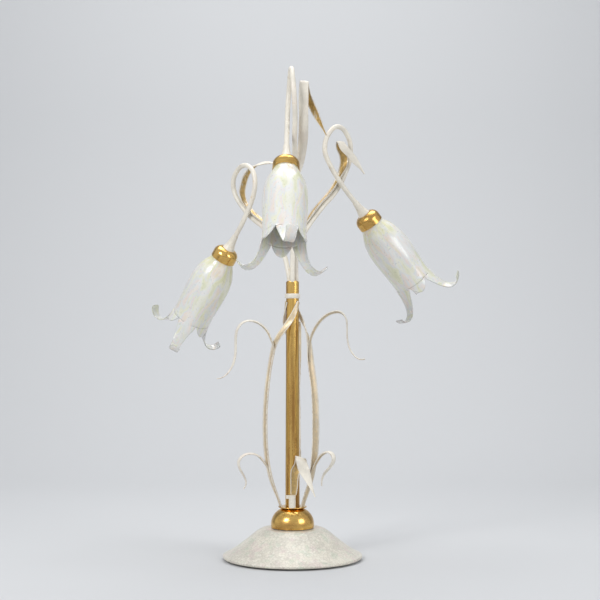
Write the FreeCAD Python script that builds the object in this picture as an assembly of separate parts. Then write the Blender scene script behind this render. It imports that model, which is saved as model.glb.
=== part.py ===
"""Three-light table lamp with tulip glass shades, millimetres, +Z up.

The origin is the middle of the felt underside. The lamp is a pressed glass foot over a steel
weight, a brass dome, a tapered brass stem in a cage of gutter-shaped leaves, and three looped
arms, each of which ends in a brass cup, a plug-in lampholder and a tulip shade.
"""
import FreeCAD, Part
import math
import os

from FreeCAD import Placement, Rotation, Vector

# ---- clearances shared by everything that seats, turns or slides ----
SEAT_GAP = 0.3          # between curved faces that only rest together
SLIP_FIT = 0.1          # radial, a tube or pin in its hole
ROOT_GAP = 0.55         # under the middle of a tendril's root, whose edges almost touch its gutter
RUNNING_GAP = 0.3       # between the shade, which turns, and what it turns on

# ---- foot ----
FOOT_RADIUS = 100.0
FOOT_TOP_Z = 44.0       # flat crown of the glass, where the dome stands
FOOT_LIP_Z = 2.0        # the glass rim clears the table by this much
GLASS_WALL = 5.0
WEIGHT_RADIUS = 77.0
WEIGHT_THICK = 9.0
WEIGHT_EDGE = 1.5       # chamfer
POCKET_RADIUS = 46.0    # wiring pocket in the weight's underside
HUB_PLAY = 3.0          # round the washer in the hub
FELT_THICK = 2.0
FELT_INSET = 1.0        # the felt stays inside the weight's edge
ROD_RADIUS = 5.0        # threaded tube that clamps the foot together
ROD_BORE = 3.4
ROD_PAST_RING = 12.0
PILLAR_WALL = 4.0
NUT_FLATS = 15.0
NUT_HEIGHT = 5.0
WASHER_RADIUS = 13.0
WASHER_THICK = 1.6
POCKET_ROOF = 3.0       # metal left over the wiring pocket
TERMINAL_SIZE = (21.0, 10.0, 4.6)
TERMINAL_HOLE = 1.5
TERMINAL_CORNER = (18.0, -19.0)
GROMMET_HOLE = 5.0      # lead inlet in the weight's side wall
GROMMET_FLANGE = 1.6
GROMMET_WALL = 1.6
NUT_CLEAR = 0.2         # the nut stays off the plane of the felt's top

# ---- dome and stem ----
DOME_RADIUS = 30.5
DOME_HEIGHT = 27.5
DOME_WALL = 1.2
DOME_CROWN = 15.0       # flat of the crown, as a radius
GASKET_THICK = 1.0
GASKET_INSET = 2.0      # the dome's edge hides the gasket
FOOT_RING_RADIUS = 20.5
FOOT_RING_THICK = 2.6
STEM_R_LOW = 10.3
STEM_R_HIGH = 9.1
STEM_WALL = 1.2
STEM_TOP_Z = 380.0
COLLAR_RADIUS = 11.0
COLLAR_HEIGHT = 7.0
PLUG_RADIUS = 9.3
PLUG_TOP_Z = 398.0
PLUG_SPIGOT = 14.0      # how far the plug enters the stem
SOCKET_DEPTH = 12.0     # how far an arm enters the plug

# ---- leaves and tendrils, bent from steel strip ----
STRIP_THICK = 1.4
TENDRIL_THICK = 1.2
FOLD_RADIUS = 3.6
CAGE_AZIMUTHS = {"left": 200.0, "right": -38.0, "back": 84.0}
CAGE_WIDTH = 15.0
CAGE_CUP = 3.2
CAGE_TIP_SWEEP = 125.0  # degrees that a cage leaf's tip winds round the stem
# radius and height of a cage leaf's spine, foot to tip
CAGE_SPINE = [(17.2, None), (21.0, 88), (28.5, 110), (35.0, 137), (38.6, 172), (38.6, 212),
              (35.5, 250), (29.5, 288), (22.5, 318), (14.5, 341), (11.0, 356), (10.9, 368)]
CAGE_WIND_FROM_Z = 300.0
# radius and height of each curl, from where it leaves its leaf to its tip
UPPER_TENDRIL = [(31, 312), (37, 326), (48, 337), (62, 342), (76, 339), (84.5, 328), (86.5, 310),
                 (87.5, 290), (93.5, 273), (104, 262), (113, 260)]
LOWER_TENDRIL = [(40, 137), (50, 149), (62, 153.5), (75, 151), (82, 142), (80, 131),
                 (74, 121), (70.5, 112), (74, 103)]
LOWER_TENDRIL_SHORT = [(39, 136), (49, 149), (60, 154), (70, 152), (75, 143), (71, 132),
                       (61, 122), (54, 112), (53, 102)]
TENDRIL_WIDTH = 6.4
TENDRIL_CUP = 1.8
# turn away from its leaf, lift and tail lift of each upper tendril; curl and lift of each lower one
UPPER_TENDRILS = {"left": (0.0, 0.0, 0.0), "right": (12.0, 15.0, 13.0), "back": (0.0, 0.0, 0.0)}
LOWER_TENDRILS = {"left": (LOWER_TENDRIL, 0.0), "right": (LOWER_TENDRIL_SHORT, 6.0),
                  "back": (LOWER_TENDRIL, 0.0)}

FRONT_LEAF_Y = -16.4
FRONT_LEAF_WIDTH = 16.5
FRONT_LEAF_TOP_Z = 147.0
SLEEVE_RADIUS = 4.8
SLEEVE_HEIGHT = 18.0
SLEEVE_TAB = 4.0

# ---- arms: tube, and the bends measured in each arm's own radius and height ----
ARM_RADIUS = 3.6
ARM_BORE = 2.6
ARM_PITCH_RADIUS = 5.6  # the three tubes stand on this circle in the plug
RISE_SIDE = 6.0         # tangential place of the rising limb where the limbs cross
FALL_SIDE = -4.5        # and of the falling limb
# the loop from the rising limb over the top to the falling limb: radius, height over the crossing
LOOP = [(88.0, 17), (95.5, 43), (91.5, 67), (74.0, 82.5), (56.0, 70), (49.5, 46), (59.5, 22)]
ROUND_LOOP = [(96.0, 10), (110.0, 30), (112.5, 50), (102.0, 66), (87.0, 71.5), (72.0, 64),
              (65.0, 46), (69.0, 22)]
# which way each arm points, the height where its limbs cross, and where its head ends and tilts;
# hand is the side of the arm's plane on which the rising limb lies
ARMS = {
    "left": {"azimuth": 144.0, "hand": -1, "cross_z": 498.0, "seat": (114.3, 447.0), "tilt": 35.5,
             "riser": [(8.5, 412), (17, 436), (32, 457), (54, 476), (78, 492)], "loop": ROUND_LOOP,
             "fall": [(86.5, 487)]},
    "right": {"azimuth": 24.0, "hand": 1, "cross_z": 541.0, "seat": (112.5, 496.5), "tilt": 40.5,
              "riser": [(6.2, 428), (11, 452), (24, 474), (47, 503), (72, 530)], "loop": LOOP,
              "fall": [(80.5, 533.5)]},
    "front": {"azimuth": -92.0, "hand": 1, "cross_z": 607.0, "seat": (100.0, 561.5), "tilt": 29.0,
              "riser": [(5.6, 470), (7.5, 508), (20, 536), (45, 568), (72, 596)], "loop": LOOP,
              "fall": [(78.0, 601.5)]},
}

# ---- upper leaves, which ride on the rising limbs ----
LEAF_WIDTH = 13.5
LEAF_CUP = 3.0
LEAF_GAP = 0.4          # between the leaf's underside and the tube
# each leaf beyond the arm: radius, tangential side and height over the crossing of its spine
LEAF_SPINES = {
    "left": [(97.5, -9.5, 22), (100.5, -10.0, 33), (98.5, -10.5, 45), (94.5, -11.0, 57),
             (87.5, -12.5, 67), (78.0, -14.0, 72.5), (63.0, -16.0, 75.5), (46.0, -18.5, 73)],
    "right": [(86.0, 7.5, 32), (82.5, 5.5, 45), (77.5, 4.0, 55), (76.0, -0.5, 61), (77.5, -5.0, 55),
              (85.5, -8.5, 44), (97.0, -11.0, 30), (109.0, -12.5, 14)],
    "front": [(32.0, 11.0, -45), (52.0, 16.0, -22), (72.0, 18.0, -2), (80.0, 18.4, 22),
              (81.5, 18.6, 44), (79.0, 18.8, 58), (74.5, 19.4, 65), (70.0, 20.8, 58),
              (68.5, 27.5, 38), (67.5, 38.5, 14), (66.5, 50.0, -9)],
}
LEAF_ROOTS = {"left": (3, 7), "right": (4, 7), "front": (3, 4)}  # first and last arm point covered
# how far the gutter is turned about its own spine, in degrees at fractions of the length
LEAF_TWISTS = {
    "left": [(0, 0), (0.74, 0), (1, 70)],
    "right": [(0, 0), (0.42, 0), (0.64, 70), (0.7, 74), (0.82, 108), (1, 108)],
    "front": [(0, 0), (1, 0)],
}

# ---- lamp head, measured along its axis from the end of the arm ----
FERRULE_LENGTH = 23.0
FERRULE_RADIUS = 9.0
NIPPLE_RADIUS = 5.0
NIPPLE_LENGTH = 14.0
NIPPLE_UP = 5.0
CUP_RADIUS = 18.6
CUP_HEIGHT = 18.0
CUP_WALL = 0.9
HOLDER_RADIUS = 11.0
HOLDER_LENGTH = 27.0
HOLDER_TOP = 1.2
HOLDER_MOUTH = 9.0      # depth of the open well that takes the bulb's base
MOUTH_RADIUS = 9.2
GROOVES = 6             # rings round the holder that stand for the ring's thread
GROOVE_PITCH = 2.0
GROOVE_WIDTH = 0.9
GROOVE_DEPTH = 0.45
SHADE_WALL = 2.4
NECK_TOP = 9.6          # the glass neck's flat top
NECK_RADIUS = 17.0
NECK_EDGE = 1.2         # rounding of the neck's shoulder
NECK_WASHER = 1.0
RING_RADIUS = 14.4
RING_HEIGHT = 4.0
RING_NOTCHES = 8
# outer radius of the glass at distances along the axis: body, then a petal out to its hooked tip
SHADE_BODY = [(NECK_RADIUS, 15.5), (NECK_RADIUS + 0.4, 19), (22.4, 29), (27.8, 42), (30.6, 60),
              (30.9, 82), (29.6, 104), (29.4, 120), (31.6, 136), (36.5, 149), (45.5, 158.5),
              (56.0, 159.5), (63.8, 154.5), (67.2, 147.5)]
PETAL_WALL = 1.7
PETALS = 3
BELL_REACH = 90.0       # beyond the bell's brim
# half width of a long petal and of a short lobe at distances along the axis
PETAL_EDGE = [(18.0, 112), (15.6, 124), (12.6, 134), (9.8, 144), (7.6, 154), (6.8, 166)]
LOBE_EDGE = [(18.0, 112), (14.6, 123), (11.4, 130), (6.6, 136.5), (0.0, 139.0)]
SHADE_SPIN = {"left": 123.0, "right": 70.0, "front": 10.0}

# ---- plug-in capsule bulb ----
BULB_RADIUS = 7.0
BULB_LENGTH = 38.0
BULB_BASE = (14.0, 7.0, 11.0)
PIN_RADIUS = 0.75
PIN_SPACING = 9.0
PIN_PLAY = 0.5          # round each pin in its slot
PIN_LOOP = 2.4          # each pin is a wire loop this wide
PIN_LENGTH = 5.0        # how far the loops stand out of the base


# ---------------------------------------------------------------- helpers
def vec(x, y, z):
    return Vector(x, y, z)


def polar(radius, azimuth, z):
    a = math.radians(azimuth)
    return Vector(radius * math.cos(a), radius * math.sin(a), z)


def revolve(points):
    """Solid of revolution about Z from (radius, z) points joined by straight lines."""
    pts = [Vector(r, 0, z) for r, z in points]
    wire = Part.makePolygon(pts + [pts[0]])
    return Part.Face(wire).revolve(Vector(), Vector(0, 0, 1), 360)


def spline(points):
    """Smooth curve through the points."""
    curve = Part.BSplineCurve()
    curve.interpolate(points)
    return curve


def washer(r_out, r_in, z0, height):
    ring = Part.makeCylinder(r_out, height, vec(0, 0, z0))
    return ring.cut(Part.makeCylinder(r_in, height, vec(0, 0, z0)))


def arc_mid(a, tangent, b):
    """Middle point of the arc that leaves a along tangent and ends at b."""
    chord = b - a
    half = chord.Length / 2
    across = tangent - chord * (tangent.dot(chord) / chord.dot(chord))
    if across.Length < 1e-6:
        return None
    bend = tangent.getAngle(chord)
    return (a + b) * 0.5 + across.normalize() * (half * math.tan(bend / 2))


def arc_path(points, first=None, last=None):
    """Smooth wire of arcs through the points: two arcs to each gap, tangent throughout."""
    n = len(points)
    tangents = []
    for i in range(n):
        before, after = points[max(i - 1, 0)], points[min(i + 1, n - 1)]
        tangents.append((after - before).normalize())
    tangents[0] = first or tangents[0]
    tangents[-1] = last or tangents[-1]
    edges = []
    for p, q, tp, tq in zip(points, points[1:], tangents, tangents[1:]):
        v = q - p
        a = 2 * (1 - tp.dot(tq))
        b = 2 * v.dot(tp + tq)
        c = -v.dot(v)
        d = -c / b if a < 1e-9 else (-b + math.sqrt(b * b - 4 * a * c)) / (2 * a)
        join = (p + tp * d + q - tq * d) * 0.5
        turn = ((q - tq * d) - (p + tp * d)).normalize()
        for start, way, end in ((p, tp, join), (join, turn, q)):
            mid = arc_mid(start, way, end)
            if mid is None:
                edges.append(Part.makeLine(start, end))
            else:
                edges.append(Part.Arc(start, mid, end).toShape())
    return Part.Wire(edges)


def tube(path, radius, bore, start, way):
    """Round tube swept along a wire that leaves start in the direction way."""
    outer = Part.Wire(Part.makeCircle(radius, start, way))
    inner = Part.Wire(Part.makeCircle(bore, start, way))
    body = path.makePipe(Part.Face(outer))
    return body.cut(path.makePipe(Part.Face(inner)))


def stations(points, count):
    """Even samples of a smooth curve through the points: place and unit tangent."""
    curve = spline(points)
    edge = curve.toShape()
    out = []
    for i in range(count):
        last = i == count - 1
        u = edge.LastParameter if last else edge.getParameterByLength(edge.Length * i / (count - 1))
        out.append((curve.value(u), Vector(*curve.tangent(u)[0])))
    return out


def carried_normals(samples, start_normal):
    """Normals carried along the curve without twist, from start_normal."""
    p0, t0 = samples[0]
    n = (start_normal - t0 * start_normal.dot(t0)).normalize()
    normals = [n]
    for (p, t), (q, s) in zip(samples, samples[1:]):
        v = q - p
        mirrored_n = n - v * (2 * v.dot(n) / v.dot(v))
        mirrored_t = t - v * (2 * v.dot(t) / v.dot(v))
        w = s - mirrored_t
        n = mirrored_n - w * (2 * w.dot(mirrored_n) / w.dot(w)) if w.Length > 1e-9 else mirrored_n
        n = (n - s * n.dot(s)).normalize()
        normals.append(n)
    return normals


def twisted(samples, normals, keys):
    """Normals turned about the curve by angles given at fractions of its length."""
    angles = ramp([f for f, a in keys], [a for f, a in keys], len(samples))
    return [Rotation(t, a).multVec(n) for (p, t), n, a in zip(samples, normals, angles)]


def strip(samples, normals, widths, cups, thick):
    """Strip of steel or glass: a gutter section lofted along the samples.

    A positive cup raises the edges towards the normal.
    """
    sections = []
    for (p, t), n, width, cup in zip(samples, normals, widths, cups):
        n = (n - t * n.dot(t)).normalize()
        side = t.cross(n)
        half = width / 2
        lift = n * (thick / 2)
        left, right, low = p - side * half + n * cup, p + side * half + n * cup, p
        under = Part.Arc(left - lift, low - lift, right - lift).toShape()
        over = Part.Arc(right + lift, low + lift, left + lift).toShape()
        sections.append(Part.Wire([under, Part.makeLine(right - lift, right + lift), over,
                                   Part.makeLine(left + lift, left - lift)]))
    return Part.makeLoft(sections, True, False)


def ramp(fractions, values, count):
    """Values at count even places, from values given at a few fractions of the length."""
    out = []
    for i in range(count):
        x = i / (count - 1)
        k = max(j for j in range(len(fractions) - 1) if fractions[j] <= x + 1e-9)
        f = (x - fractions[k]) / (fractions[k + 1] - fractions[k])
        f = f * f * (3 - 2 * f)
        out.append(values[k] + (values[k + 1] - values[k]) * f)
    return out


# ---------------------------------------------------------------- foot
WEIGHT_Z = FELT_THICK
WEIGHT_TOP = WEIGHT_Z + WEIGHT_THICK
DOME_Z = FOOT_TOP_Z + GASKET_THICK
DOME_TOP = DOME_Z + DOME_HEIGHT
RING_TOP = DOME_TOP + FOOT_RING_THICK
CAGE_FOOT_Z = RING_TOP


def felt_pad():
    return Part.makeCylinder(WEIGHT_RADIUS - FELT_INSET, FELT_THICK)


def foot_weight():
    """Cast weight: a disc with a raised hub, a wiring pocket and a side hole for the lead."""
    disc = Part.makeCylinder(WEIGHT_RADIUS, WEIGHT_THICK, vec(0, 0, WEIGHT_Z))
    disc = disc.makeChamfer(WEIGHT_EDGE, [disc.Edges[0]])
    hub_r = WASHER_RADIUS + HUB_PLAY
    pocket = washer(POCKET_RADIUS, hub_r, WEIGHT_Z, WEIGHT_THICK - POCKET_ROOF)
    hub_well = Part.makeCylinder(hub_r, NUT_HEIGHT + WASHER_THICK + 0.4, vec(0, 0, WEIGHT_Z))
    lead = Part.makeCylinder(GROMMET_HOLE, WEIGHT_RADIUS, vec(0, POCKET_RADIUS - 4, inlet_z()),
                             vec(0, 1, 0))
    lead_slot = Part.makeBox(2 * GROMMET_HOLE, WEIGHT_RADIUS, inlet_z() - WEIGHT_Z + 0.1,
                             vec(-GROMMET_HOLE, POCKET_RADIUS - 4, WEIGHT_Z - 0.1))
    rod = Part.makeCylinder(ROD_RADIUS + SLIP_FIT, WEIGHT_THICK + 2, vec(0, 0, WEIGHT_Z - 1))
    return disc.cut(Part.makeCompound([pocket, hub_well, rod])).cut(lead_slot.fuse(lead))


def inlet_z():
    return WEIGHT_Z + 2.0


def lead_grommet():
    """Half-round rubber bush that lines the lead's way out under the weight's edge."""
    y0 = WEIGHT_RADIUS - 9.0
    shell_r = GROMMET_HOLE - SLIP_FIT
    length = WEIGHT_RADIUS + GROMMET_FLANGE - y0
    bush = Part.makeCylinder(shell_r, length, vec(0, y0, inlet_z()), vec(0, 1, 0))
    flange = Part.makeCylinder(GROMMET_HOLE + GROMMET_WALL, GROMMET_FLANGE,
                               vec(0, WEIGHT_RADIUS + SLIP_FIT, inlet_z()), vec(0, 1, 0))
    below = Part.makeBox(40, 40, 20, vec(-20, y0 - 5, WEIGHT_Z - 20 + 0.2))
    legs = Part.makeBox(2 * shell_r, length, inlet_z() - WEIGHT_Z - 0.2,
                        vec(-shell_r, y0, WEIGHT_Z + 0.2))
    way = Part.makeCylinder(GROMMET_HOLE - GROMMET_WALL, 40, vec(0, y0 - 5, inlet_z()), vec(0, 1, 0))
    way_down = Part.makeBox(2 * (GROMMET_HOLE - GROMMET_WALL), 40, 10,
                            vec(-(GROMMET_HOLE - GROMMET_WALL), y0 - 5, inlet_z() - 10))
    return bush.fuse([flange, legs]).cut(Part.makeCompound([below])).cut(way.fuse(way_down))


def foot_glass():
    """Pressed glass foot: flat crown, straight skirt and a thick rounded rim."""
    outer = [(44, FOOT_TOP_Z - 0.4), (50, FOOT_TOP_Z - 3.4), (61, 32.0), (75, 21.2), (88.5, 11.8),
             (FOOT_RADIUS - 1.2, 6.6)]
    inner = [(FOOT_RADIUS - 9.0, 5.0), (84, 8.6), (72, 16.8), (58, 27.6), (47, 35.6),
             (40, FOOT_TOP_Z - GLASS_WALL)]
    bore = ROD_RADIUS + 1.0
    top_out = Vector(bore, 0, FOOT_TOP_Z)
    shoulder = Vector(38, 0, FOOT_TOP_Z)
    bore_in = Vector(bore, 0, FOOT_TOP_Z - GLASS_WALL)
    skirt = spline([shoulder] + [Vector(r, 0, z) for r, z in outer]).toShape()
    lining = spline([Vector(r, 0, z) for r, z in inner]).toShape()
    rim_top, rim_in = Vector(*outer_end(outer)), Vector(*outer_end(inner[:1]))
    rim = Part.Arc(rim_top, Vector(FOOT_RADIUS, 0, 4.4),
                   Vector(FOOT_RADIUS - 2.0, 0, FOOT_LIP_Z)).toShape()
    lip_in = Vector(FOOT_RADIUS - 8.0, 0, FOOT_LIP_Z)
    edges = [Part.makeLine(top_out, shoulder), skirt, rim,
             Part.makeLine(Vector(FOOT_RADIUS - 2.0, 0, FOOT_LIP_Z), lip_in),
             Part.makeLine(lip_in, rim_in), lining,
             Part.makeLine(Vector(*outer_end(inner)), bore_in), Part.makeLine(bore_in, top_out)]
    return Part.Face(Part.Wire(edges)).revolve(Vector(), Vector(0, 0, 1), 360)


def outer_end(points):
    r, z = points[-1]
    return r, 0, z


def foot_pillar():
    """Spacer between weight and glass crown, so that the nut can pull the foot together."""
    z0 = WEIGHT_TOP
    return washer(ROD_RADIUS + PILLAR_WALL, ROD_RADIUS + SLIP_FIT, z0, FOOT_TOP_Z - GLASS_WALL - z0)


def foot_nut():
    z0 = WEIGHT_Z + NUT_CLEAR
    nut = Part.makePolygon([polar(NUT_FLATS / 2 / math.cos(math.radians(30)), 60 * i, z0)
                            for i in range(7)])
    body = Part.Face(nut).extrude(vec(0, 0, NUT_HEIGHT))
    return body.cut(Part.makeCylinder(ROD_RADIUS + SLIP_FIT, 20, vec(0, 0, z0 - 1)))


def foot_washer():
    z0 = WEIGHT_Z + NUT_CLEAR + NUT_HEIGHT
    return washer(WASHER_RADIUS, ROD_RADIUS + SLIP_FIT, z0, WASHER_THICK)


def centre_rod():
    """Threaded tube from the nut up into the stem, with the leads inside."""
    z0 = WEIGHT_Z + 2 * NUT_CLEAR
    return washer(ROD_RADIUS, ROD_BORE, z0, RING_TOP + ROD_PAST_RING - z0)


def terminal_block():
    """Three-way block fixed to the roof of the weight's wiring pocket."""
    length, width, height = TERMINAL_SIZE
    z0 = WEIGHT_TOP - POCKET_ROOF - SEAT_GAP - height
    x0, y0 = TERMINAL_CORNER
    block = Part.makeBox(length, width, height, vec(x0, y0, z0))
    pitch = length / 3
    for i in range(3):
        way_in = vec(x0 + pitch * (i + 0.5), y0 - 1, z0 + height / 2)
        block = block.cut(Part.makeCylinder(TERMINAL_HOLE, width + 2, way_in, vec(0, 1, 0)))
    return block


def dome_gasket():
    return washer(DOME_RADIUS - GASKET_INSET, ROD_RADIUS + SLIP_FIT, FOOT_TOP_Z, GASKET_THICK)


def brass_dome():
    """Spun dome with a flat crown and a small rolled foot."""
    def shell(inset):
        low, high = Vector(DOME_RADIUS - inset, 0, DOME_Z), Vector(DOME_CROWN, 0, DOME_TOP - inset)
        bulge = Vector(DOME_RADIUS * 0.905 - inset * 0.9, 0,
                       DOME_Z + DOME_HEIGHT * 0.62 - inset * 0.4)
        return low, Part.Arc(low, bulge, high).toShape(), high

    low_o, arc_o, high_o = shell(0)
    low_i, arc_i, high_i = shell(DOME_WALL)
    bore = ROD_RADIUS + SLIP_FIT
    top_o, top_i = Vector(bore, 0, DOME_TOP), Vector(bore, 0, DOME_TOP - DOME_WALL)
    wire = Part.Wire([arc_o, Part.makeLine(high_o, top_o), Part.makeLine(top_o, top_i),
                      Part.makeLine(top_i, high_i), arc_i, Part.makeLine(low_i, low_o)])
    return Part.Face(wire).revolve(Vector(), Vector(0, 0, 1), 360)


def foot_ring():
    """Turned ring on the crown that the stem and the leaves' feet stand on."""
    bore = ROD_RADIUS + SLIP_FIT
    return revolve([(bore, DOME_TOP), (DOME_CROWN - 0.5, DOME_TOP),
                    (FOOT_RING_RADIUS - 0.6, DOME_TOP + 1.2), (FOOT_RING_RADIUS, DOME_TOP + 1.8),
                    (FOOT_RING_RADIUS, RING_TOP), (bore, RING_TOP)])


# ---------------------------------------------------------------- stem
def stem_tube():
    """Tapered brass tube from the foot ring to the plug's shoulder."""
    return revolve([(STEM_R_LOW - STEM_WALL, RING_TOP), (STEM_R_LOW, RING_TOP),
                    (STEM_R_HIGH, STEM_TOP_Z), (STEM_R_HIGH - STEM_WALL, STEM_TOP_Z)])


def stem_radius(z):
    f = (z - RING_TOP) / (STEM_TOP_Z - RING_TOP)
    return STEM_R_LOW + (STEM_R_HIGH - STEM_R_LOW) * f


def stem_collar():
    """Enamelled ring that hides where the cage leaves end."""
    z0, z1 = STEM_TOP_Z - COLLAR_HEIGHT, STEM_TOP_Z
    return revolve([(stem_radius(z0) + SLIP_FIT, z0), (COLLAR_RADIUS - 0.8, z0),
                    (COLLAR_RADIUS, z0 + 1.2), (COLLAR_RADIUS, z1 - 1.2), (COLLAR_RADIUS - 0.8, z1),
                    (STEM_R_HIGH + SLIP_FIT, z1)])


def stem_plug():
    """Brass plug that closes the stem and holds the three arm tubes in blind sockets."""
    inner = STEM_R_HIGH - STEM_WALL - SLIP_FIT
    z0 = STEM_TOP_Z
    body = revolve([(0, z0 - PLUG_SPIGOT), (inner, z0 - PLUG_SPIGOT), (inner, z0), (PLUG_RADIUS, z0),
                    (PLUG_RADIUS, PLUG_TOP_Z - 1.5), (PLUG_RADIUS - 1.5, PLUG_TOP_Z), (0, PLUG_TOP_Z)])
    cuts = []
    for arm in ARMS.values():
        foot = polar(ARM_PITCH_RADIUS, arm["azimuth"], PLUG_TOP_Z - SOCKET_DEPTH)
        cuts.append(Part.makeCylinder(ARM_RADIUS + SLIP_FIT, SOCKET_DEPTH + 1, foot))
        foot_bore = polar(ARM_PITCH_RADIUS * 0.8, arm["azimuth"], z0 - PLUG_SPIGOT - 1)
        cuts.append(Part.makeCylinder(ARM_BORE * 0.85, PLUG_TOP_Z, foot_bore))
    for cutter in cuts:
        body = body.cut(cutter)
    return body


# ---------------------------------------------------------------- cage leaves and tendrils
def cage_spine():
    """Spine of a cage leaf whose foot stands at azimuth 0."""
    top = CAGE_SPINE[-1][1]
    points = []
    for r, z in CAGE_SPINE:
        z = CAGE_FOOT_Z if z is None else z
        f = max(0.0, (z - CAGE_WIND_FROM_Z) / (top - CAGE_WIND_FROM_Z))
        points.append(polar(r, CAGE_TIP_SWEEP * f ** 1.6, z))
    return points


def cage_place(z):
    """Point of a cage leaf's spine at a height, and the way its gutter opens there."""
    fine = stations(cage_spine(), 160)
    p, t = min(fine, key=lambda sample: abs(sample[0].z - z))
    opening = Vector(p.x, p.y, 0).normalize()
    return p, (opening - t * opening.dot(t)).normalize()


def cage_leaf():
    count = 18
    samples = stations(cage_spine(), count)
    samples[0] = (samples[0][0], vec(0, 0, 1))
    normals = [Vector(p.x, p.y, 0).normalize() for p, t in samples]
    w = CAGE_WIDTH
    widths = ramp([0, 0.12, 0.3, 0.7, 0.86, 1],
                  [8.0, w * 0.7, w, w * 0.93, w * 0.6, w * 0.4], count)
    cups = ramp([0, 0.15, 0.75, 0.88, 1], [0.8, CAGE_CUP, CAGE_CUP, 0.6, -0.8], count)
    return strip(samples, normals, widths, cups, STRIP_THICK)


def tendril(route, turn, lift, tail_lift, root_below, count=22):
    """Narrow strip that lies in a cage leaf's gutter and curls out of it.

    route starts where the tendril leaves the leaf; root_below is how far down it is fixed.
    """
    off = STRIP_THICK / 2 + ROOT_GAP + TENDRIL_THICK / 2
    leave_z = route[0][1]
    points = []
    for f in (1.0, 0.8, 0.6, 0.4):
        p, opening = cage_place(leave_z - root_below * f)
        points.append(p + opening * off)
    for i, (r, z) in enumerate(route):
        f = min(1.0, i / 4)
        g = max(0.0, (i - 4) / (len(route) - 5))
        points.append(polar(r, turn * f, z + lift * f + tail_lift * g))
    samples = stations(points, count)
    normals = carried_normals(samples, vec(1, 0, 0))
    w = TENDRIL_WIDTH
    widths = ramp([0, 0.1, 0.5, 0.8, 1], [3.0, w * 0.8, w, w * 0.75, 1.6], count)
    cups = ramp([0, 0.12, 0.3, 0.8, 1], [0.3, 0.4, TENDRIL_CUP, TENDRIL_CUP * 0.7, 0.2], count)
    return strip(samples, normals, widths, cups, TENDRIL_THICK)


def turned(shape, azimuth):
    shape = shape.copy()
    shape.Placement = Placement(Vector(), Rotation(Vector(0, 0, 1), azimuth))
    return shape


def front_leaf():
    """Short leaf at the front of the foot, folded over sharply with its tip hanging down."""
    y = FRONT_LEAF_Y
    z0 = RING_TOP + SLEEVE_HEIGHT + 2 * SEAT_GAP
    top = FRONT_LEAF_TOP_Z
    r = FOLD_RADIUS
    spine = [vec(1.4, y, z0), vec(2.6, y - 0.4, z0 + 18), vec(5.4, y - 0.8, z0 + 36),
             vec(10.4, y - 1.2, top - 8), vec(11.8, y - 1.2 - r, top),
             vec(13.4, y - 1.2 - 2 * r, top - 8), vec(19.0, y - 12.5, top - 22),
             vec(25.6, y - 17.0, top - 38), vec(32.0, y - 19.0, top - 54)]
    count = 40
    samples = stations(spine, count)
    normals = carried_normals(samples, vec(0, -1, 0))
    normals = twisted(samples, normals, [(0, 0), (0.5, 0), (0.64, 37), (1, 37)])
    w = FRONT_LEAF_WIDTH
    widths = ramp([0, 0.12, 0.35, 0.5, 0.6, 1], [8.5, w * 0.66, w * 0.84, w, w * 0.95, 2.0], count)
    cups = ramp([0, 0.15, 0.36, 0.42, 0.58, 0.7, 1], [1.0, 2.4, 2.0, 0.3, 0.3, -1.6, -0.4], count)
    return strip(samples, normals, widths, cups, STRIP_THICK)


def front_sleeve():
    """Rolled foot of the front leaf, with the corner of the sheet standing off to the left."""
    y = FRONT_LEAF_Y
    centre = vec(-0.3, y, RING_TOP)
    sleeve = Part.makeCylinder(SLEEVE_RADIUS, SLEEVE_HEIGHT, centre)
    sleeve = sleeve.cut(Part.makeCylinder(SLEEVE_RADIUS - STRIP_THICK, SLEEVE_HEIGHT - 2, centre))
    tab_height = 5.0
    corner = centre + vec(-SLEEVE_RADIUS - SLEEVE_TAB, -STRIP_THICK, SLEEVE_HEIGHT - tab_height)
    tab = Part.makeBox(SLEEVE_RADIUS + SLEEVE_TAB, STRIP_THICK, tab_height, corner)
    return sleeve.fuse(tab)


# ---------------------------------------------------------------- arms
def head_axis(name):
    """Unit vector down a head's axis, in its arm's radius, tangent and height."""
    a = math.radians(ARMS[name]["tilt"])
    return Vector(math.sin(a), 0, -math.cos(a))


def head_seat(name):
    r, z = ARMS[name]["seat"]
    return Vector(r, FALL_SIDE * ARMS[name]["hand"], z)


def arm_points(name):
    """Centre line of an arm in its own radius, tangent and height, from plug to head."""
    arm = ARMS[name]
    seat, down, hand = head_seat(name), head_axis(name), arm["hand"]
    points = [Vector(ARM_PITCH_RADIUS, 0, PLUG_TOP_Z - SOCKET_DEPTH),
              Vector(ARM_PITCH_RADIUS, 0, PLUG_TOP_Z)]
    riser, loop = arm["riser"], arm["loop"]
    for i, (r, z) in enumerate(riser):
        points.append(Vector(r, RISE_SIDE * hand * (i + 1) / len(riser), z))
    for i, (r, z) in enumerate(loop):
        f = i / (len(loop) - 1)
        f = f * f * (3 - 2 * f)
        side = RISE_SIDE + 1.0 + (FALL_SIDE - RISE_SIDE - 1.0) * f
        points.append(Vector(r, side * hand, arm["cross_z"] + z))
    for r, z in arm["fall"]:
        points.append(Vector(r, FALL_SIDE * hand, z))
    points.append(seat - down * (FERRULE_LENGTH + 1))
    points.append(seat)
    return points


def arm_frame(name):
    return Placement(Vector(), Rotation(Vector(0, 0, 1), ARMS[name]["azimuth"]))


def arm_path(name):
    return arc_path(arm_points(name), Vector(0, 0, 1), head_axis(name))


def arm_tube(name):
    body = tube(arm_path(name), ARM_RADIUS, ARM_BORE, arm_points(name)[0], Vector(0, 0, 1))
    body.Placement = arm_frame(name)
    return body


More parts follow.
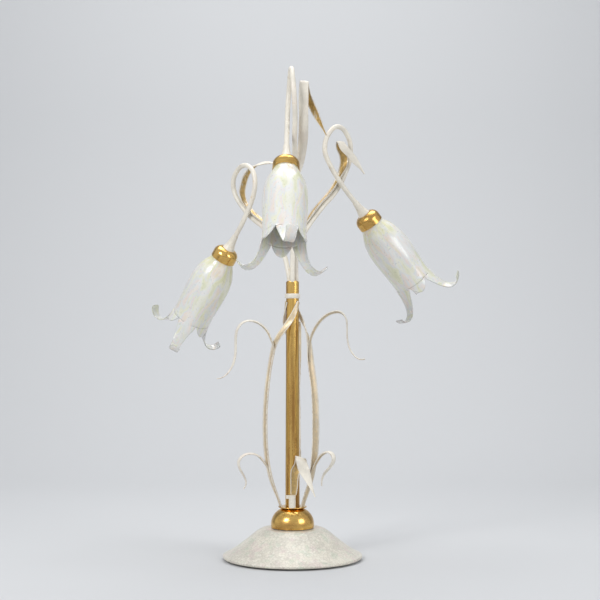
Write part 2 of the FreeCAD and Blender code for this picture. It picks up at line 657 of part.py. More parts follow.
def arm_leaf(name):
    """Gutter leaf brazed along the rising limb, standing up inside the loop and folded over."""
    cross_z = ARMS[name]["cross_z"]
    first, last = LEAF_ROOTS[name]
    off = ARM_RADIUS + LEAF_GAP + STRIP_THICK / 2
    bends = arm_path(name).OrderedVertexes
    spine = []
    for i in range(2 * first, 2 * last + 1):
        along = (bends[i + 1].Point - bends[i - 1].Point).normalize()
        spine.append(bends[i].Point + Vector(-along.z, 0, along.x).normalize() * off)
    spine += [Vector(r, side, cross_z + z) for r, side, z in LEAF_SPINES[name]]
    count = 46
    samples = stations(spine, count)
    normals = twisted(samples, carried_normals(samples, Vector(-1, 0, 0.6)), LEAF_TWISTS[name])
    w = LEAF_WIDTH
    widths = ramp([0, 0.1, 0.4, 0.66, 0.85, 1], [6.0, w * 0.8, w, w * 0.95, w * 0.8, 2.0], count)
    cups = ramp([0, 0.12, 0.5, 0.58, 0.7, 0.8, 1],
                [1.2, LEAF_CUP, LEAF_CUP, 0.6, 0.6, 1.4, 0.3], count)
    leaf = strip(samples, normals, widths, cups, STRIP_THICK)
    leaf.Placement = arm_frame(name)
    return leaf


# ---------------------------------------------------------------- lamp heads
def head_frame(name, spin=0.0):
    """Places a piece drawn with its axis on Z, its arm end at 0 and its open end at -Z."""
    tilt = Placement(head_seat(name), Rotation(Vector(0, 1, 0), -ARMS[name]["tilt"]))
    turn = Placement(Vector(), Rotation(Vector(0, 0, 1), spin))
    return arm_frame(name).multiply(tilt).multiply(turn)


def placed(shape, name, spin=0.0):
    shape = shape.copy()
    shape.Placement = head_frame(name, spin)
    return shape


def ferrule():
    """Flared sleeve over the end of the arm, down to the cup."""
    bore = ARM_RADIUS + SLIP_FIT
    well = NIPPLE_RADIUS + SLIP_FIT
    return revolve([(bore, FERRULE_LENGTH), (bore + 0.7, FERRULE_LENGTH), (bore + 1.4, 15.0), (6.6, 8.0),
                    (FERRULE_RADIUS - 0.6, 2.2), (FERRULE_RADIUS, 1.0), (FERRULE_RADIUS, 0.0),
                    (well, 0.0), (well, NIPPLE_UP + 0.2), (bore, NIPPLE_UP + 0.2)])


def nipple():
    """Threaded nipple brazed to the arm's end; the lampholder screws on below the cup."""
    return revolve([(ARM_RADIUS + SLIP_FIT, NIPPLE_UP), (NIPPLE_RADIUS, NIPPLE_UP),
                    (NIPPLE_RADIUS, NIPPLE_UP - NIPPLE_LENGTH), (ARM_BORE, NIPPLE_UP - NIPPLE_LENGTH),
                    (ARM_BORE, -0.05), (ARM_RADIUS + SLIP_FIT, -0.05)])


def brass_cup():
    """Spun cup that covers the lampholder and the glass neck."""
    def skin(inset):
        return [Vector(NIPPLE_RADIUS + SLIP_FIT, 0, -inset), Vector(11.0, 0, -inset),
                Vector(16.8 - inset * 0.7, 0, -4.2 - inset * 0.7), Vector(CUP_RADIUS - inset, 0, -11.0),
                Vector(CUP_RADIUS - inset, 0, -CUP_HEIGHT)]
    outer, inner = skin(0.0), skin(CUP_WALL)
    edges = []
    for side in (outer, inner):
        edges += [Part.makeLine(side[0], side[1]), Part.Arc(side[1], side[2], side[3]).toShape(),
                  Part.makeLine(side[3], side[4])]
    edges += [Part.makeLine(outer[0], inner[0]), Part.makeLine(outer[4], inner[4])]
    wire = Part.Wire(Part.__sortEdges__(edges))
    return Part.Face(wire).revolve(Vector(), Vector(0, 0, 1), 360)


def lampholder():
    """Plug-in holder: screwed cap, threaded skirt for the ring, and a slotted socket face."""
    top, low = -HOLDER_TOP, -HOLDER_LENGTH
    well_r, well_z = NIPPLE_RADIUS + SLIP_FIT, NIPPLE_UP - NIPPLE_LENGTH - SEAT_GAP
    face_z = low + HOLDER_MOUTH
    body = revolve([(well_r, top), (HOLDER_RADIUS - 2.4, top), (HOLDER_RADIUS, top - 2.0),
                    (HOLDER_RADIUS, low), (MOUTH_RADIUS, low), (MOUTH_RADIUS, face_z), (0, face_z),
                    (0, well_z), (well_r, well_z)])
    half_x, half_y = PIN_RADIUS + PIN_PLAY, PIN_LOOP / 2 + PIN_RADIUS + PIN_PLAY
    for x in (-PIN_SPACING / 2, PIN_SPACING / 2):
        corner = vec(x - half_x, -half_y, face_z - 0.1)
        body = body.cut(Part.makeBox(2 * half_x, 2 * half_y, PIN_LENGTH + 2.0, corner))
    for i in range(GROOVES):
        groove_z = low + 3.4 - GROOVE_WIDTH / 2 + i * GROOVE_PITCH
        groove = washer(HOLDER_RADIUS + 1, HOLDER_RADIUS - GROOVE_DEPTH, groove_z, GROOVE_WIDTH)
        body = body.cut(groove)
    return body


def neck_washer():
    """Soft washer between the cup and the top of the glass."""
    top = -NECK_TOP + RUNNING_GAP
    return washer(RING_RADIUS, HOLDER_RADIUS + SLIP_FIT, top, NECK_WASHER)


def shade_ring():
    """Threaded ring, screwed up the lampholder to trap the glass; notched for the fingers."""
    top = -NECK_TOP - SHADE_WALL - SLIP_FIT
    ring = washer(RING_RADIUS, HOLDER_RADIUS + SLIP_FIT, top - RING_HEIGHT, RING_HEIGHT)
    for i in range(RING_NOTCHES):
        foot = polar(RING_RADIUS + 0.3, 360 * i / RING_NOTCHES, top - RING_HEIGHT)
        notch = Part.makeCylinder(1.0, RING_HEIGHT, foot)
        ring = ring.cut(notch)
    return ring


def shade_bell():
    """Whole glass profile turned round the axis: drilled neck, belly and a rolled-back brim."""
    hole = HOLDER_RADIUS + RUNNING_GAP
    outer = [Vector(r, 0, -u) for r, u in SHADE_BODY]
    inner = []
    for i in range(1, len(outer)):
        ahead = outer[min(i + 1, len(outer) - 1)] - outer[i - 1]
        f = i / (len(outer) - 1)
        wall = SHADE_WALL + (PETAL_WALL - SHADE_WALL) * f
        inner.append(outer[i] + Vector(ahead.z, 0, -ahead.x).normalize() * wall)
    under_z = -NECK_TOP - SHADE_WALL
    corners = [inner[0], Vector(NECK_RADIUS - SHADE_WALL, 0, under_z), Vector(hole, 0, under_z),
               Vector(hole, 0, -NECK_TOP), Vector(NECK_RADIUS - NECK_EDGE, 0, -NECK_TOP),
               Vector(NECK_RADIUS, 0, -NECK_TOP - NECK_EDGE), outer[0]]
    edges = [Part.makeLine(a, b) for a, b in zip(corners, corners[1:])]
    edges += [spline(outer).toShape(), spline(inner).toShape()]
    edges.append(Part.makeLine(outer[-1], inner[-1]))
    wire = Part.Wire(Part.__sortEdges__(edges))
    return Part.Face(wire).revolve(Vector(), Vector(0, 0, 1), 360)


def outline_prism(edge, azimuth):
    """Block driven out from the axis, with a symmetric outline of (half width, distance) points."""
    right = [Vector(0, half, -u) for half, u in edge]
    left = [Vector(0, -half, -u) for half, u in reversed(edge)]
    edges = [spline(right).toShape(), spline(left).toShape(), Part.makeLine(left[-1], right[0])]
    if edge[-1][0] > 0:
        edges.insert(1, Part.makeLine(right[-1], left[0]))
    prism = Part.Face(Part.Wire(edges)).extrude(Vector(BELL_REACH, 0, 0))
    prism.rotate(Vector(), Vector(0, 0, 1), azimuth)
    return prism


def tulip_shade():
    """Blown tulip: three long petals hook outwards and a short lobe stands between each two."""
    bell = shade_bell()
    top, low = PETAL_EDGE[0][1] + 1.0, PETAL_EDGE[-1][1] - 1.0
    waste = Part.makeCylinder(BELL_REACH, low - top + 20, vec(0, 0, -low - 20))
    step = 360 / PETALS
    for i in range(PETALS):
        waste = waste.cut(outline_prism(PETAL_EDGE, step * i))
        waste = waste.cut(outline_prism(LOBE_EDGE, step * (i + 0.5)))
    return bell.cut(waste)


def bulb_top():
    """Distance along the axis of the top face of the bulb's base, at rest in its holder."""
    return HOLDER_LENGTH - HOLDER_MOUTH + SEAT_GAP


def bulb_base():
    """Pinched base with its two loop pins."""
    lx, ly, lz = BULB_BASE
    top = -bulb_top()
    block = Part.makeBox(lx, ly, lz, vec(-lx / 2, -ly / 2, top - lz))
    block = block.makeFillet(1.2, [e for e in block.Edges if abs(e.tangentAt(0).z) > 0.9])
    wire = PIN_RADIUS * 0.6
    half = PIN_LOOP / 2
    for x in (-PIN_SPACING / 2, PIN_SPACING / 2):
        for y in (-half, half):
            block = block.fuse(Part.makeCylinder(wire, PIN_LENGTH + 0.5, vec(x, y, top - 0.5)))
        bridge = Part.makeBox(2.6 * wire, PIN_LOOP + 2.6 * wire, 2 * wire,
                              vec(x - 1.3 * wire, -half - 1.3 * wire, top + PIN_LENGTH - wire))
        block = block.fuse(bridge)
    return block


def bulb_glass():
    """Frosted capsule with a round nose."""
    top = -bulb_top() - BULB_BASE[2]
    end = top - BULB_LENGTH
    r, shoulder_r, shoulder_h = BULB_RADIUS, 5.2, 5.0
    low = top - shoulder_h
    nose_z = end + r
    s = math.sqrt(0.5)
    shoulder = Part.Arc(Vector(shoulder_r, 0, top), Vector(r - 0.3, 0, top - 0.45 * shoulder_h),
                        Vector(r, 0, low)).toShape()
    nose = Part.Arc(Vector(r, 0, nose_z), Vector(r * s, 0, nose_z - r * s), Vector(0, 0, end)).toShape()
    side = Part.makeLine(Vector(r, 0, low), Vector(r, 0, nose_z))
    axis = Part.makeLine(Vector(0, 0, end), Vector(0, 0, top))
    lid = Part.makeLine(Vector(0, 0, top), Vector(shoulder_r, 0, top))
    wire = Part.Wire([shoulder, side, nose, axis, lid])
    return Part.Face(wire).revolve(Vector(), Vector(0, 0, 1), 360)


# ---------------------------------------------------------------- assembly
def build():
    parts = {
        "felt_pad": felt_pad(), "foot_weight": foot_weight(), "lead_grommet": lead_grommet(),
        "foot_glass": foot_glass(), "foot_pillar": foot_pillar(), "foot_nut": foot_nut(),
        "foot_washer": foot_washer(), "centre_rod": centre_rod(), "terminal_block": terminal_block(),
        "dome_gasket": dome_gasket(), "brass_dome": brass_dome(), "foot_ring": foot_ring(),
        "stem_tube": stem_tube(), "stem_collar": stem_collar(), "stem_plug": stem_plug(),
        "front_leaf": front_leaf(), "front_leaf_sleeve": front_sleeve(),
    }
    for name, azimuth in CAGE_AZIMUTHS.items():
        parts["cage_leaf_" + name] = turned(cage_leaf(), azimuth)
        upper = tendril(UPPER_TENDRIL, *UPPER_TENDRILS[name], 30.0)
        parts["upper_tendril_" + name] = turned(upper, azimuth)
        route, lift = LOWER_TENDRILS[name]
        parts["lower_tendril_" + name] = turned(tendril(route, 0.0, lift, 0.0, 26.0), azimuth)
    pieces = {"ferrule": ferrule(), "arm_nipple": nipple(), "brass_cup": brass_cup(),
              "lampholder": lampholder(), "neck_washer": neck_washer(), "shade_ring": shade_ring(),
              "bulb_base": bulb_base(), "bulb_glass": bulb_glass()}
    shade = tulip_shade()
    for name in ARMS:
        parts["arm_tube_" + name] = arm_tube(name)
        parts["arm_leaf_" + name] = arm_leaf(name)
        for piece, shape in pieces.items():
            parts[piece + "_" + name] = placed(shape, name)
        parts["shade_" + name] = placed(shade, name, SHADE_SPIN[name])
    return parts


os.makedirs("parts", exist_ok=True)
for node, shape in build().items():
    if not shape.isValid() or not shape.Solids or shape.Volume <= 0:
        print("check", node, shape.isValid(), len(shape.Solids), shape.Volume)
    shape.exportStep("parts/" + node + ".step")
print("built")
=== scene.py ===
"""Looks of a three-light tulip table lamp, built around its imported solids. Metres, +Z up."""

import math

import bmesh
import bpy
import numpy as np
from bpy.props import FloatProperty, FloatVectorProperty, IntProperty, PointerProperty
from mathutils import Matrix, Quaternion, Vector, noise


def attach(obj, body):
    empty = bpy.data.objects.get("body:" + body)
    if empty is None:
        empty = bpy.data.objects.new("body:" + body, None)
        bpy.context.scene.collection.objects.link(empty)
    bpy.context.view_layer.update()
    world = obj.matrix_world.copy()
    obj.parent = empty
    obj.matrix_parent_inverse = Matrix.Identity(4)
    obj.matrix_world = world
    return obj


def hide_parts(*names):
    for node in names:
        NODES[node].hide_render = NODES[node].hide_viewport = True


bl_info = {
    "name": "Tulip table lamp",
    "version": (1, 0, 0),
    "blender": (4, 5, 0),
    "location": "3D View > Sidebar > Lamp",
    "description": "Builds a table lamp with tulip glass shades, bent leaves and a glass foot",
    "category": "Object",
}

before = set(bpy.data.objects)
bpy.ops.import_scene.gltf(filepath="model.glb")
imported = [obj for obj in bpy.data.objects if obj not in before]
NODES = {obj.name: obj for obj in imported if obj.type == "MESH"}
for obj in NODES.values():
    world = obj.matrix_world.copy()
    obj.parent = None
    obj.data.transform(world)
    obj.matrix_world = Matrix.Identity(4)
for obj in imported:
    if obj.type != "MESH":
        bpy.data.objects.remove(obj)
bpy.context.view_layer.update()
MM = 0.001
SHARP_ANGLE = 32.0      # edges of turned pieces that bend more than this stay crisp


# ---------------------------------------------------------------- sizes and colours
class LampSizes(bpy.types.PropertyGroup):
    """Sizes of the pieces that the scene shapes itself."""
    arm_radius: FloatProperty(name="Arm radius", description="Outer radius of an arm's tube",
                              default=0.0036, unit="LENGTH")
    leaf_thickness: FloatProperty(name="Leaf thickness", description="Sheet thickness of the leaves",
                                  default=0.0014, unit="LENGTH")
    tendril_thickness: FloatProperty(name="Tendril thickness", default=0.0012, unit="LENGTH",
                                     description="Sheet thickness of the narrow curls")
    relief: FloatProperty(name="Hammering", description="Depth of the hammer marks on the leaves",
                          default=0.00016, unit="LENGTH")
    shade_wall: FloatProperty(name="Shade wall", description="Wall of a shade at its neck",
                              default=0.0024, unit="LENGTH")
    petal_wall: FloatProperty(name="Petal wall", description="Wall of a shade at its petal tips",
                              default=0.0017, unit="LENGTH")
    segments: IntProperty(name="Segments", description="Facets round a turned piece",
                          default=96, min=24, max=256)


class LampColours(bpy.types.PropertyGroup):
    """Colours of the finishes."""
    ivory: FloatVectorProperty(name="Ivory", description="Enamel on the leaves and arms",
                               subtype="COLOR", default=(0.80, 0.755, 0.655))
    patina: FloatVectorProperty(name="Patina", description="Brown glaze rubbed into the enamel",
                                subtype="COLOR", default=(0.27, 0.165, 0.085))
    gilding: FloatVectorProperty(name="Gilding", description="Gold inside the leaves' gutters",
                                 subtype="COLOR", default=(0.64, 0.41, 0.11))
    brass: FloatVectorProperty(name="Brass", description="Cups, dome and stem",
                               subtype="COLOR", default=(0.74, 0.47, 0.14))
    glass: FloatVectorProperty(name="Shade glass", description="Milky body of the tulips",
                               subtype="COLOR", default=(0.88, 0.87, 0.78))
    foot: FloatVectorProperty(name="Foot glass", description="Pressed glass of the foot",
                              subtype="COLOR", default=(0.74, 0.70, 0.60))
    backdrop: FloatVectorProperty(name="Backdrop", description="Floor and backdrop",
                                  subtype="COLOR", default=(0.60, 0.61, 0.62))


# ---------------------------------------------------------------- node maths
def maths(operation, reflected=False):
    """Method that adds one maths node."""
    def apply(self, other=0.0):
        a, b = (other, self) if reflected else (self, other)
        return self.graph.add("ShaderNodeMath", {"operation": operation}, {0: a, 1: b})
    return apply


class Socket:
    """An output socket that can be used in arithmetic."""
    __add__, __radd__ = maths("ADD"), maths("ADD", True)
    __sub__, __rsub__ = maths("SUBTRACT"), maths("SUBTRACT", True)
    __mul__, __rmul__ = maths("MULTIPLY"), maths("MULTIPLY", True)
    abs, at_most, at_least = maths("ABSOLUTE"), maths("MINIMUM"), maths("MAXIMUM")

    def __init__(self, graph, out):
        self.graph = graph
        self.out = out


class Graph:
    """Adds nodes to one tree, for materials and for geometry alike."""

    def __init__(self, tree):
        self.tree = tree

    def link(self, value, socket):
        if isinstance(value, Socket):
            self.tree.links.new(value.out, socket)
        else:
            socket.default_value = value

    def raw(self, kind, settings=None, inputs=None):
        node = self.tree.nodes.new(kind)
        for name, value in (settings or {}).items():
            if name == "stops":
                ramp = node.color_ramp
                while len(ramp.elements) < len(value):
                    ramp.elements.new(0.5)
                for element, (place, colour) in zip(ramp.elements, value):
                    element.position = place
                    element.color = (*colour, 1.0) if len(colour) == 3 else colour
            else:
                setattr(node, name, value)
        for name, value in (inputs or {}).items():
            self.link(value, node.inputs[name])
        return node

    def add(self, kind, settings=None, inputs=None, output=0):
        return Socket(self, self.raw(kind, settings, inputs).outputs[output])

    def vector(self, operation, a, b=(0.0, 0.0, 0.0), output=0):
        return self.add("ShaderNodeVectorMath", {"operation": operation}, {0: a, 1: b}, output)

    def scaled(self, vector, factor):
        node = self.raw("ShaderNodeVectorMath", {"operation": "SCALE"}, {0: vector})
        self.link(factor, node.inputs["Scale"])
        return Socket(self, node.outputs[0])

    def split(self, vector):
        node = self.raw("ShaderNodeSeparateXYZ", None, {0: vector})
        return [Socket(self, node.outputs[i]) for i in range(3)]


class Finish(Graph):
    """A material made of one principled shader, with the masks that its colours need."""

    def __init__(self, name):
        self.material = bpy.data.materials.new(name)
        self.material.use_nodes = True
        super().__init__(self.material.node_tree)
        self.tree.nodes.clear()
        self.place = self.add("ShaderNodeTexCoord", None, None, "Object")

    def noise(self, scale, detail=3.0, rough=0.5, place=None, distortion=0.0):
        inputs = {"Vector": place or self.place, "Scale": scale, "Detail": detail,
                  "Roughness": rough, "Distortion": distortion}
        return self.add("ShaderNodeTexNoise", None, inputs)

    def cells(self, scale, feature):
        return self.add("ShaderNodeTexVoronoi", {"feature": feature},
                        {"Vector": self.place, "Scale": scale})

    def band(self, value, low, high):
        """0 below low and 1 above high, smooth between."""
        node = self.raw("ShaderNodeMapRange", {"interpolation_type": "SMOOTHSTEP"},
                        {"Value": value, "From Min": low, "From Max": high})
        return Socket(self, node.outputs[0])

    def mix(self, factor, a, b, blend="MIX"):
        node = self.raw("ShaderNodeMix", {"data_type": "RGBA", "blend_type": blend})
        self.link(factor, node.inputs["Factor"])
        for name, value in (("A", a), ("B", b)):
            socket = next(s for s in node.inputs if s.name == name and s.type == "RGBA")
            self.link(value if isinstance(value, Socket) else (*value, 1.0), socket)
        return Socket(self, next(s for s in node.outputs if s.type == "RGBA"))

    def stretched(self, x, y, z, place=None):
        return self.vector("MULTIPLY", place or self.place, (x, y, z))

    def attribute(self, name, output="Fac"):
        return self.add("ShaderNodeAttribute", {"attribute_name": name}, None, output)

    def bump(self, height, strength, distance):
        return self.add("ShaderNodeBump", None,
                        {"Height": height, "Strength": strength, "Distance": distance})

    def shader(self, **values):
        node = self.raw("ShaderNodeBsdfPrincipled")
        for name, value in values.items():
            name = name.replace("_", " ")
            if not isinstance(value, Socket) and isinstance(value, tuple) and len(value) == 3:
                value = (*value, 1.0)
            self.link(value, node.inputs[name])
        return Socket(self, node.outputs[0])

    def done(self, shader):
        node = self.raw("ShaderNodeOutputMaterial")
        self.link(shader, node.inputs["Surface"])
        return self.material


# ---------------------------------------------------------------- finishes
def tinted(colour, factor):
    return tuple(min(1.0, c * factor) for c in colour)


def enamel(name, colours, gold):
    """Ivory enamel with brown glaze in streaks and along the rims, gilded inside the gutter."""
    f = Finish(name)
    across, through, _ = f.split(f.attribute("section", "Vector"))
    gutter = f.band(through, 0.2, 0.9) * f.band(1 - across.abs(), 0.05, 0.4)
    rim = f.band(across.abs(), 0.86, 1.0)
    cloud = f.noise(46, 4.0, 0.6)
    fine = f.noise(310, 4.0, 0.65)
    streak = f.noise(1.0, 4.0, 0.6, f.stretched(420, 420, 60))
    ivory = f.mix(f.band(cloud, 0.35, 0.7), tinted(colours.ivory, 0.90), tinted(colours.ivory, 1.07))
    ivory = f.mix(f.band(f.noise(21), 0.5, 0.75) * 0.35, ivory, (0.78, 0.66, 0.58))
    worn = f.band(streak + fine * 0.35, 0.74, 0.98) * 0.35
    worn = (worn + rim * f.band(fine, 0.45, 0.65) * 0.34).at_most(0.8)
    colour = f.mix(worn, ivory, colours.patina)
    leaf_gold = gutter * f.band(streak * 0.6 + cloud * 0.5, 0.34, 0.54) * gold
    golden = f.mix(f.band(fine, 0.35, 0.7), tinted(colours.gilding, 0.6), colours.gilding)
    colour = f.mix(leaf_gold, colour, golden)
    bump = f.bump(fine * 0.4 + streak * 0.6, 0.35, 0.0004)
    return f.done(f.shader(Base_Color=colour, Metallic=leaf_gold * 0.75,
                           Roughness=0.34 + fine * 0.22, Coat_Weight=0.25, Coat_Roughness=0.2,
                           Normal=bump))


def tube_enamel(name, colours):
    """The same enamel on round pieces, where there is no gutter."""
    f = Finish(name)
    cloud, fine = f.noise(52, 4.0, 0.6), f.noise(330, 4.0, 0.65)
    ivory = f.mix(f.band(cloud, 0.35, 0.7), tinted(colours.ivory, 0.92), tinted(colours.ivory, 1.08))
    ivory = f.mix(f.band(f.noise(24), 0.5, 0.75) * 0.3, ivory, (0.80, 0.68, 0.60))
    worn = f.band(fine * 0.6 + f.noise(95) * 0.5, 0.60, 0.78) * 0.55
    colour = f.mix(worn, ivory, f.mix(f.band(cloud, 0.4, 0.6), colours.patina, colours.gilding))
    return f.done(f.shader(Base_Color=colour, Metallic=worn * 0.35, Roughness=0.33 + fine * 0.22,
                           Coat_Weight=0.25, Coat_Roughness=0.2, Normal=f.bump(fine, 0.3, 0.0004)))


def brass(name, colours, age, streaks=False):
    """Polished brass, darker and redder where it has aged."""
    f = Finish(name)
    cloud, fine = f.noise(38, 4.0, 0.6), f.noise(420, 3.0, 0.6)
    stretch = f.stretched(900, 900, 60) if streaks else f.stretched(60, 60, 900)
    brushed = f.noise(1.0, 3.0, 0.6, stretch)
    bands = f.noise(1.0, 2.0, 0.5, f.stretched(170, 170, 7) if streaks else f.stretched(40, 40, 40))
    aged = (f.band(bands * 0.75 + fine * 0.25, 0.46, 0.62) * age
            + f.band(cloud, 0.58, 0.75) * age * 0.5).at_most(0.9)
    base = f.mix(f.band(brushed, 0.3, 0.7), tinted(colours.brass, 0.86), tinted(colours.brass, 1.08))
    colour = f.mix(aged, base, (0.27, 0.12, 0.035))
    roughness = 0.13 + aged * 0.22 + brushed * 0.06 + fine * 0.05
    return f.done(f.shader(Base_Color=colour, Metallic=1.0, Roughness=roughness,
                           Normal=f.bump(brushed * 0.6 + fine * 0.4, 0.10, 0.0002)))


def tulip_glass(name, colours):
    """Milky blown glass with a faint play of colour, clearing towards the petals' rims."""
    f = Finish(name)
    place = f.attribute("blown", "Vector")
    along = f.attribute("along")
    edge = f.attribute("rim")
    streak = f.noise(1.0, 3.0, 0.55, f.stretched(110, 110, 22, place), 0.6)
    hue = f.noise(1.0, 3.0, 0.55, f.stretched(75, 75, 26, place), 1.0)
    grain = f.noise(260, 4.0, 0.7, place)
    warm = f.mix(f.band(along, 0.060, 0.018), colours.glass, (0.78, 0.72, 0.42))
    tint = f.add("ShaderNodeValToRGB", {"stops": [
        (0.34, (0.72, 0.75, 0.46)), (0.43, (0.86, 0.85, 0.62)), (0.51, (0.74, 0.80, 0.86)),
        (0.60, (0.90, 0.74, 0.70)), (0.68, (0.84, 0.78, 0.52))]}, {"Fac": hue})
    body = f.mix(0.60, warm, tint)
    body = f.mix(f.band(streak, 0.44, 0.62) * 0.50, body, (0.95, 0.95, 0.92))
    body = f.mix(f.band(grain, 0.56, 0.70) * 0.25, body, (0.72, 0.71, 0.58))
    ripple = f.bump(streak * 0.8 + grain * 0.06, 0.30, 0.0016)
    milky = f.shader(Base_Color=body, Roughness=0.22 + grain * 0.14, Transmission_Weight=0.12,
                     IOR=1.5, Coat_Weight=0.5, Coat_Roughness=0.08, Normal=ripple)
    clear = f.shader(Base_Color=f.mix(0.4, (0.97, 0.98, 0.95), tint), Roughness=0.08 + grain * 0.08,
                     Transmission_Weight=0.9, IOR=1.46, Coat_Weight=0.3, Coat_Roughness=0.05,
                     Normal=ripple)
    clearness = f.band(along, 0.118, 0.175) * 0.34 + f.band(1 - edge, 0.55, 1.0) * 0.16
    clearness = clearness + f.band(streak, 0.5, 0.7) * f.band(along, 0.10, 0.15) * 0.12
    mixed = f.add("ShaderNodeMixShader", None, {0: clearness, 1: milky, 2: clear})
    return f.done(mixed)


def pressed_glass(name, colours):
    """Milky glass full of fine crackle and pale specks."""
    f = Finish(name)
    crackle = f.band(f.cells(210, "DISTANCE_TO_EDGE"), 0.12, 0.02)
    speck, patch = f.noise(270, 4.0, 0.75), f.noise(34, 3.0, 0.6)
    colour = f.mix(f.band(patch, 0.40, 0.62), tinted(colours.foot, 0.90), tinted(colours.foot, 1.08))
    colour = f.mix(f.band(f.noise(60), 0.50, 0.66) * 0.45, colour, (0.70, 0.56, 0.54))
    colour = f.mix(f.band(f.noise(75), 0.52, 0.68) * 0.40, colour, (0.50, 0.60, 0.46))
    colour = f.mix(crackle * 0.30, colour, (0.38, 0.36, 0.30))
    colour = f.mix(f.band(speck, 0.54, 0.62) * 0.60, colour, (0.88, 0.86, 0.78))
    bump = f.bump(speck * 0.6 - crackle * 0.4, 0.4, 0.0005)
    return f.done(f.shader(Base_Color=colour, Roughness=0.34 + speck * 0.2, IOR=1.5,
                           Transmission_Weight=0.06, Coat_Weight=0.30, Coat_Roughness=0.12,
                           Normal=bump))


def plain(name, colour, dark, scale, rough=0.5, metal=0.0, depth=0.0003, **more):
    """A finish with a grain of its own: two tones, a varied gloss and a fine relief."""
    f = Finish(name)
    grain, cloud = f.noise(scale, 4.0, 0.65), f.noise(scale * 0.12, 3.0, 0.6)
    tone = f.mix(f.band(grain * 0.6 + cloud * 0.4, 0.35, 0.65), dark, colour)
    return f.done(f.shader(Base_Color=tone, Metallic=metal, Roughness=(rough - 0.1) + grain * 0.2,
                           Normal=f.bump(grain, 0.5, depth), **more))


def dress(finish, *nodes):
    """Gives solids that stay as they are a finish of their own."""
    for name in nodes:
        paint(NODES[name].data, finish)


# ---------------------------------------------------------------- curves
def polar(radius, azimuth, z):
    a = math.radians(azimuth)
    return Vector((radius * math.cos(a), radius * math.sin(a), z))


def eased_step(x):
    return x * x * (3 - 2 * x)


def ramp(keys, count):
    """Values at count even places, eased between (fraction, value) keys."""
    out = []
    for i in range(count):
        x = i / (count - 1)
        k = max(j for j in range(len(keys) - 1) if keys[j][0] <= x + 1e-9)
        (f0, v0), (f1, v1) = keys[k], keys[k + 1]
        out.append(v0 + (v1 - v0) * eased_step((x - f0) / (f1 - f0)))
    return out


class Spline:
    """Smooth cubic curve through points, with chord lengths as its parameter."""

    def __init__(self, points):
        self.p = np.array([tuple(q) for q in points], float)
        self.t = np.concatenate([[0], np.cumsum(np.linalg.norm(np.diff(self.p, axis=0), axis=1))])
        h = np.diff(self.t)
        n = len(self.p)
        rows, right = np.eye(n), np.zeros_like(self.p)
        for i in range(1, n - 1):
            rows[i, i - 1:i + 2] = 1 / h[i - 1], 2 * (1 / h[i - 1] + 1 / h[i]), 1 / h[i]
            right[i] = 3 * ((self.p[i] - self.p[i - 1]) / h[i - 1] ** 2
                            + (self.p[i + 1] - self.p[i]) / h[i] ** 2)
        right[0] = self.end_slope(slice(0, 4), self.t[0])
        right[-1] = self.end_slope(slice(n - 4, n), self.t[-1])
        self.m = np.linalg.solve(rows, right)

    def end_slope(self, part, at):
        """Slope at an end of the cubic through the four points nearest it."""
        fits = [np.polyfit(self.t[part] - at, self.p[part, k], len(self.t[part]) - 1)
                for k in range(self.p.shape[1])]
        return [fit[-2] for fit in fits]

    def at(self, u):
        u = np.atleast_1d(u)
        k = np.clip(np.searchsorted(self.t, u, side="right") - 1, 0, len(self.t) - 2)
        h = (self.t[k + 1] - self.t[k])[:, None]
        s = ((u - self.t[k])[:, None]) / h
        a, b, ma, mb = self.p[k], self.p[k + 1], self.m[k] * h, self.m[k + 1] * h
        return ((2 * s ** 3 - 3 * s ** 2 + 1) * a + (s ** 3 - 2 * s ** 2 + s) * ma
                + (3 * s ** 2 - 2 * s ** 3) * b + (s ** 3 - s ** 2) * mb)

    def even(self, count):
        """Evenly spaced places and unit tangents."""
        fine = np.linspace(0, self.t[-1], 4000)
        dots = self.at(fine)
        run = np.concatenate([[0], np.cumsum(np.linalg.norm(np.diff(dots, axis=0), axis=1))])
        u = np.interp(np.linspace(0, run[-1], count), run, fine)
        step = self.t[-1] * 1e-4
        ahead = self.at(np.minimum(u + step, self.t[-1])) - self.at(np.maximum(u - step, 0))
        return [(Vector(p), Vector(d).normalized()) for p, d in zip(self.at(u), ahead)]


def carried_normals(samples, start):
    """Normals carried along a curve without twist."""
    t0 = samples[0][1]
    n = (start - t0 * start.dot(t0)).normalized()
    out = [n]
    for (p, t), (q, s) in zip(samples, samples[1:]):
        v = q - p
        mirrored_n = n - v * (2 * v.dot(n) / v.dot(v))
        mirrored_t = t - v * (2 * v.dot(t) / v.dot(v))
        w = s - mirrored_t
        if w.length > 1e-9:
            mirrored_n -= w * (2 * w.dot(mirrored_n) / w.dot(w))
        n = (mirrored_n - s * mirrored_n.dot(s)).normalized()
        out.append(n)
    return out


def twisted(samples, normals, keys):
    angles = ramp(keys, len(samples))
    return [Quaternion(t, math.radians(a)) @ n for (p, t), n, a in zip(samples, normals, angles)]


def arc_points(a, tangent, b, step=1.6):
    """Points on the arc that leaves a along tangent and ends at b, without a itself."""
    chord = b - a
    across = chord - tangent * chord.dot(tangent)
    count = max(2, round(chord.length / step))
    if across.length < 1e-6:
        return [a + chord * (i / count) for i in range(1, count + 1)]
    across.normalize()
    bend = tangent.angle(chord)
    radius = chord.length / (2 * math.sin(bend))
    turns = [2 * bend * i / count for i in range(1, count + 1)]
    return [a + tangent * radius * math.sin(x) + across * radius * (1 - math.cos(x)) for x in turns]


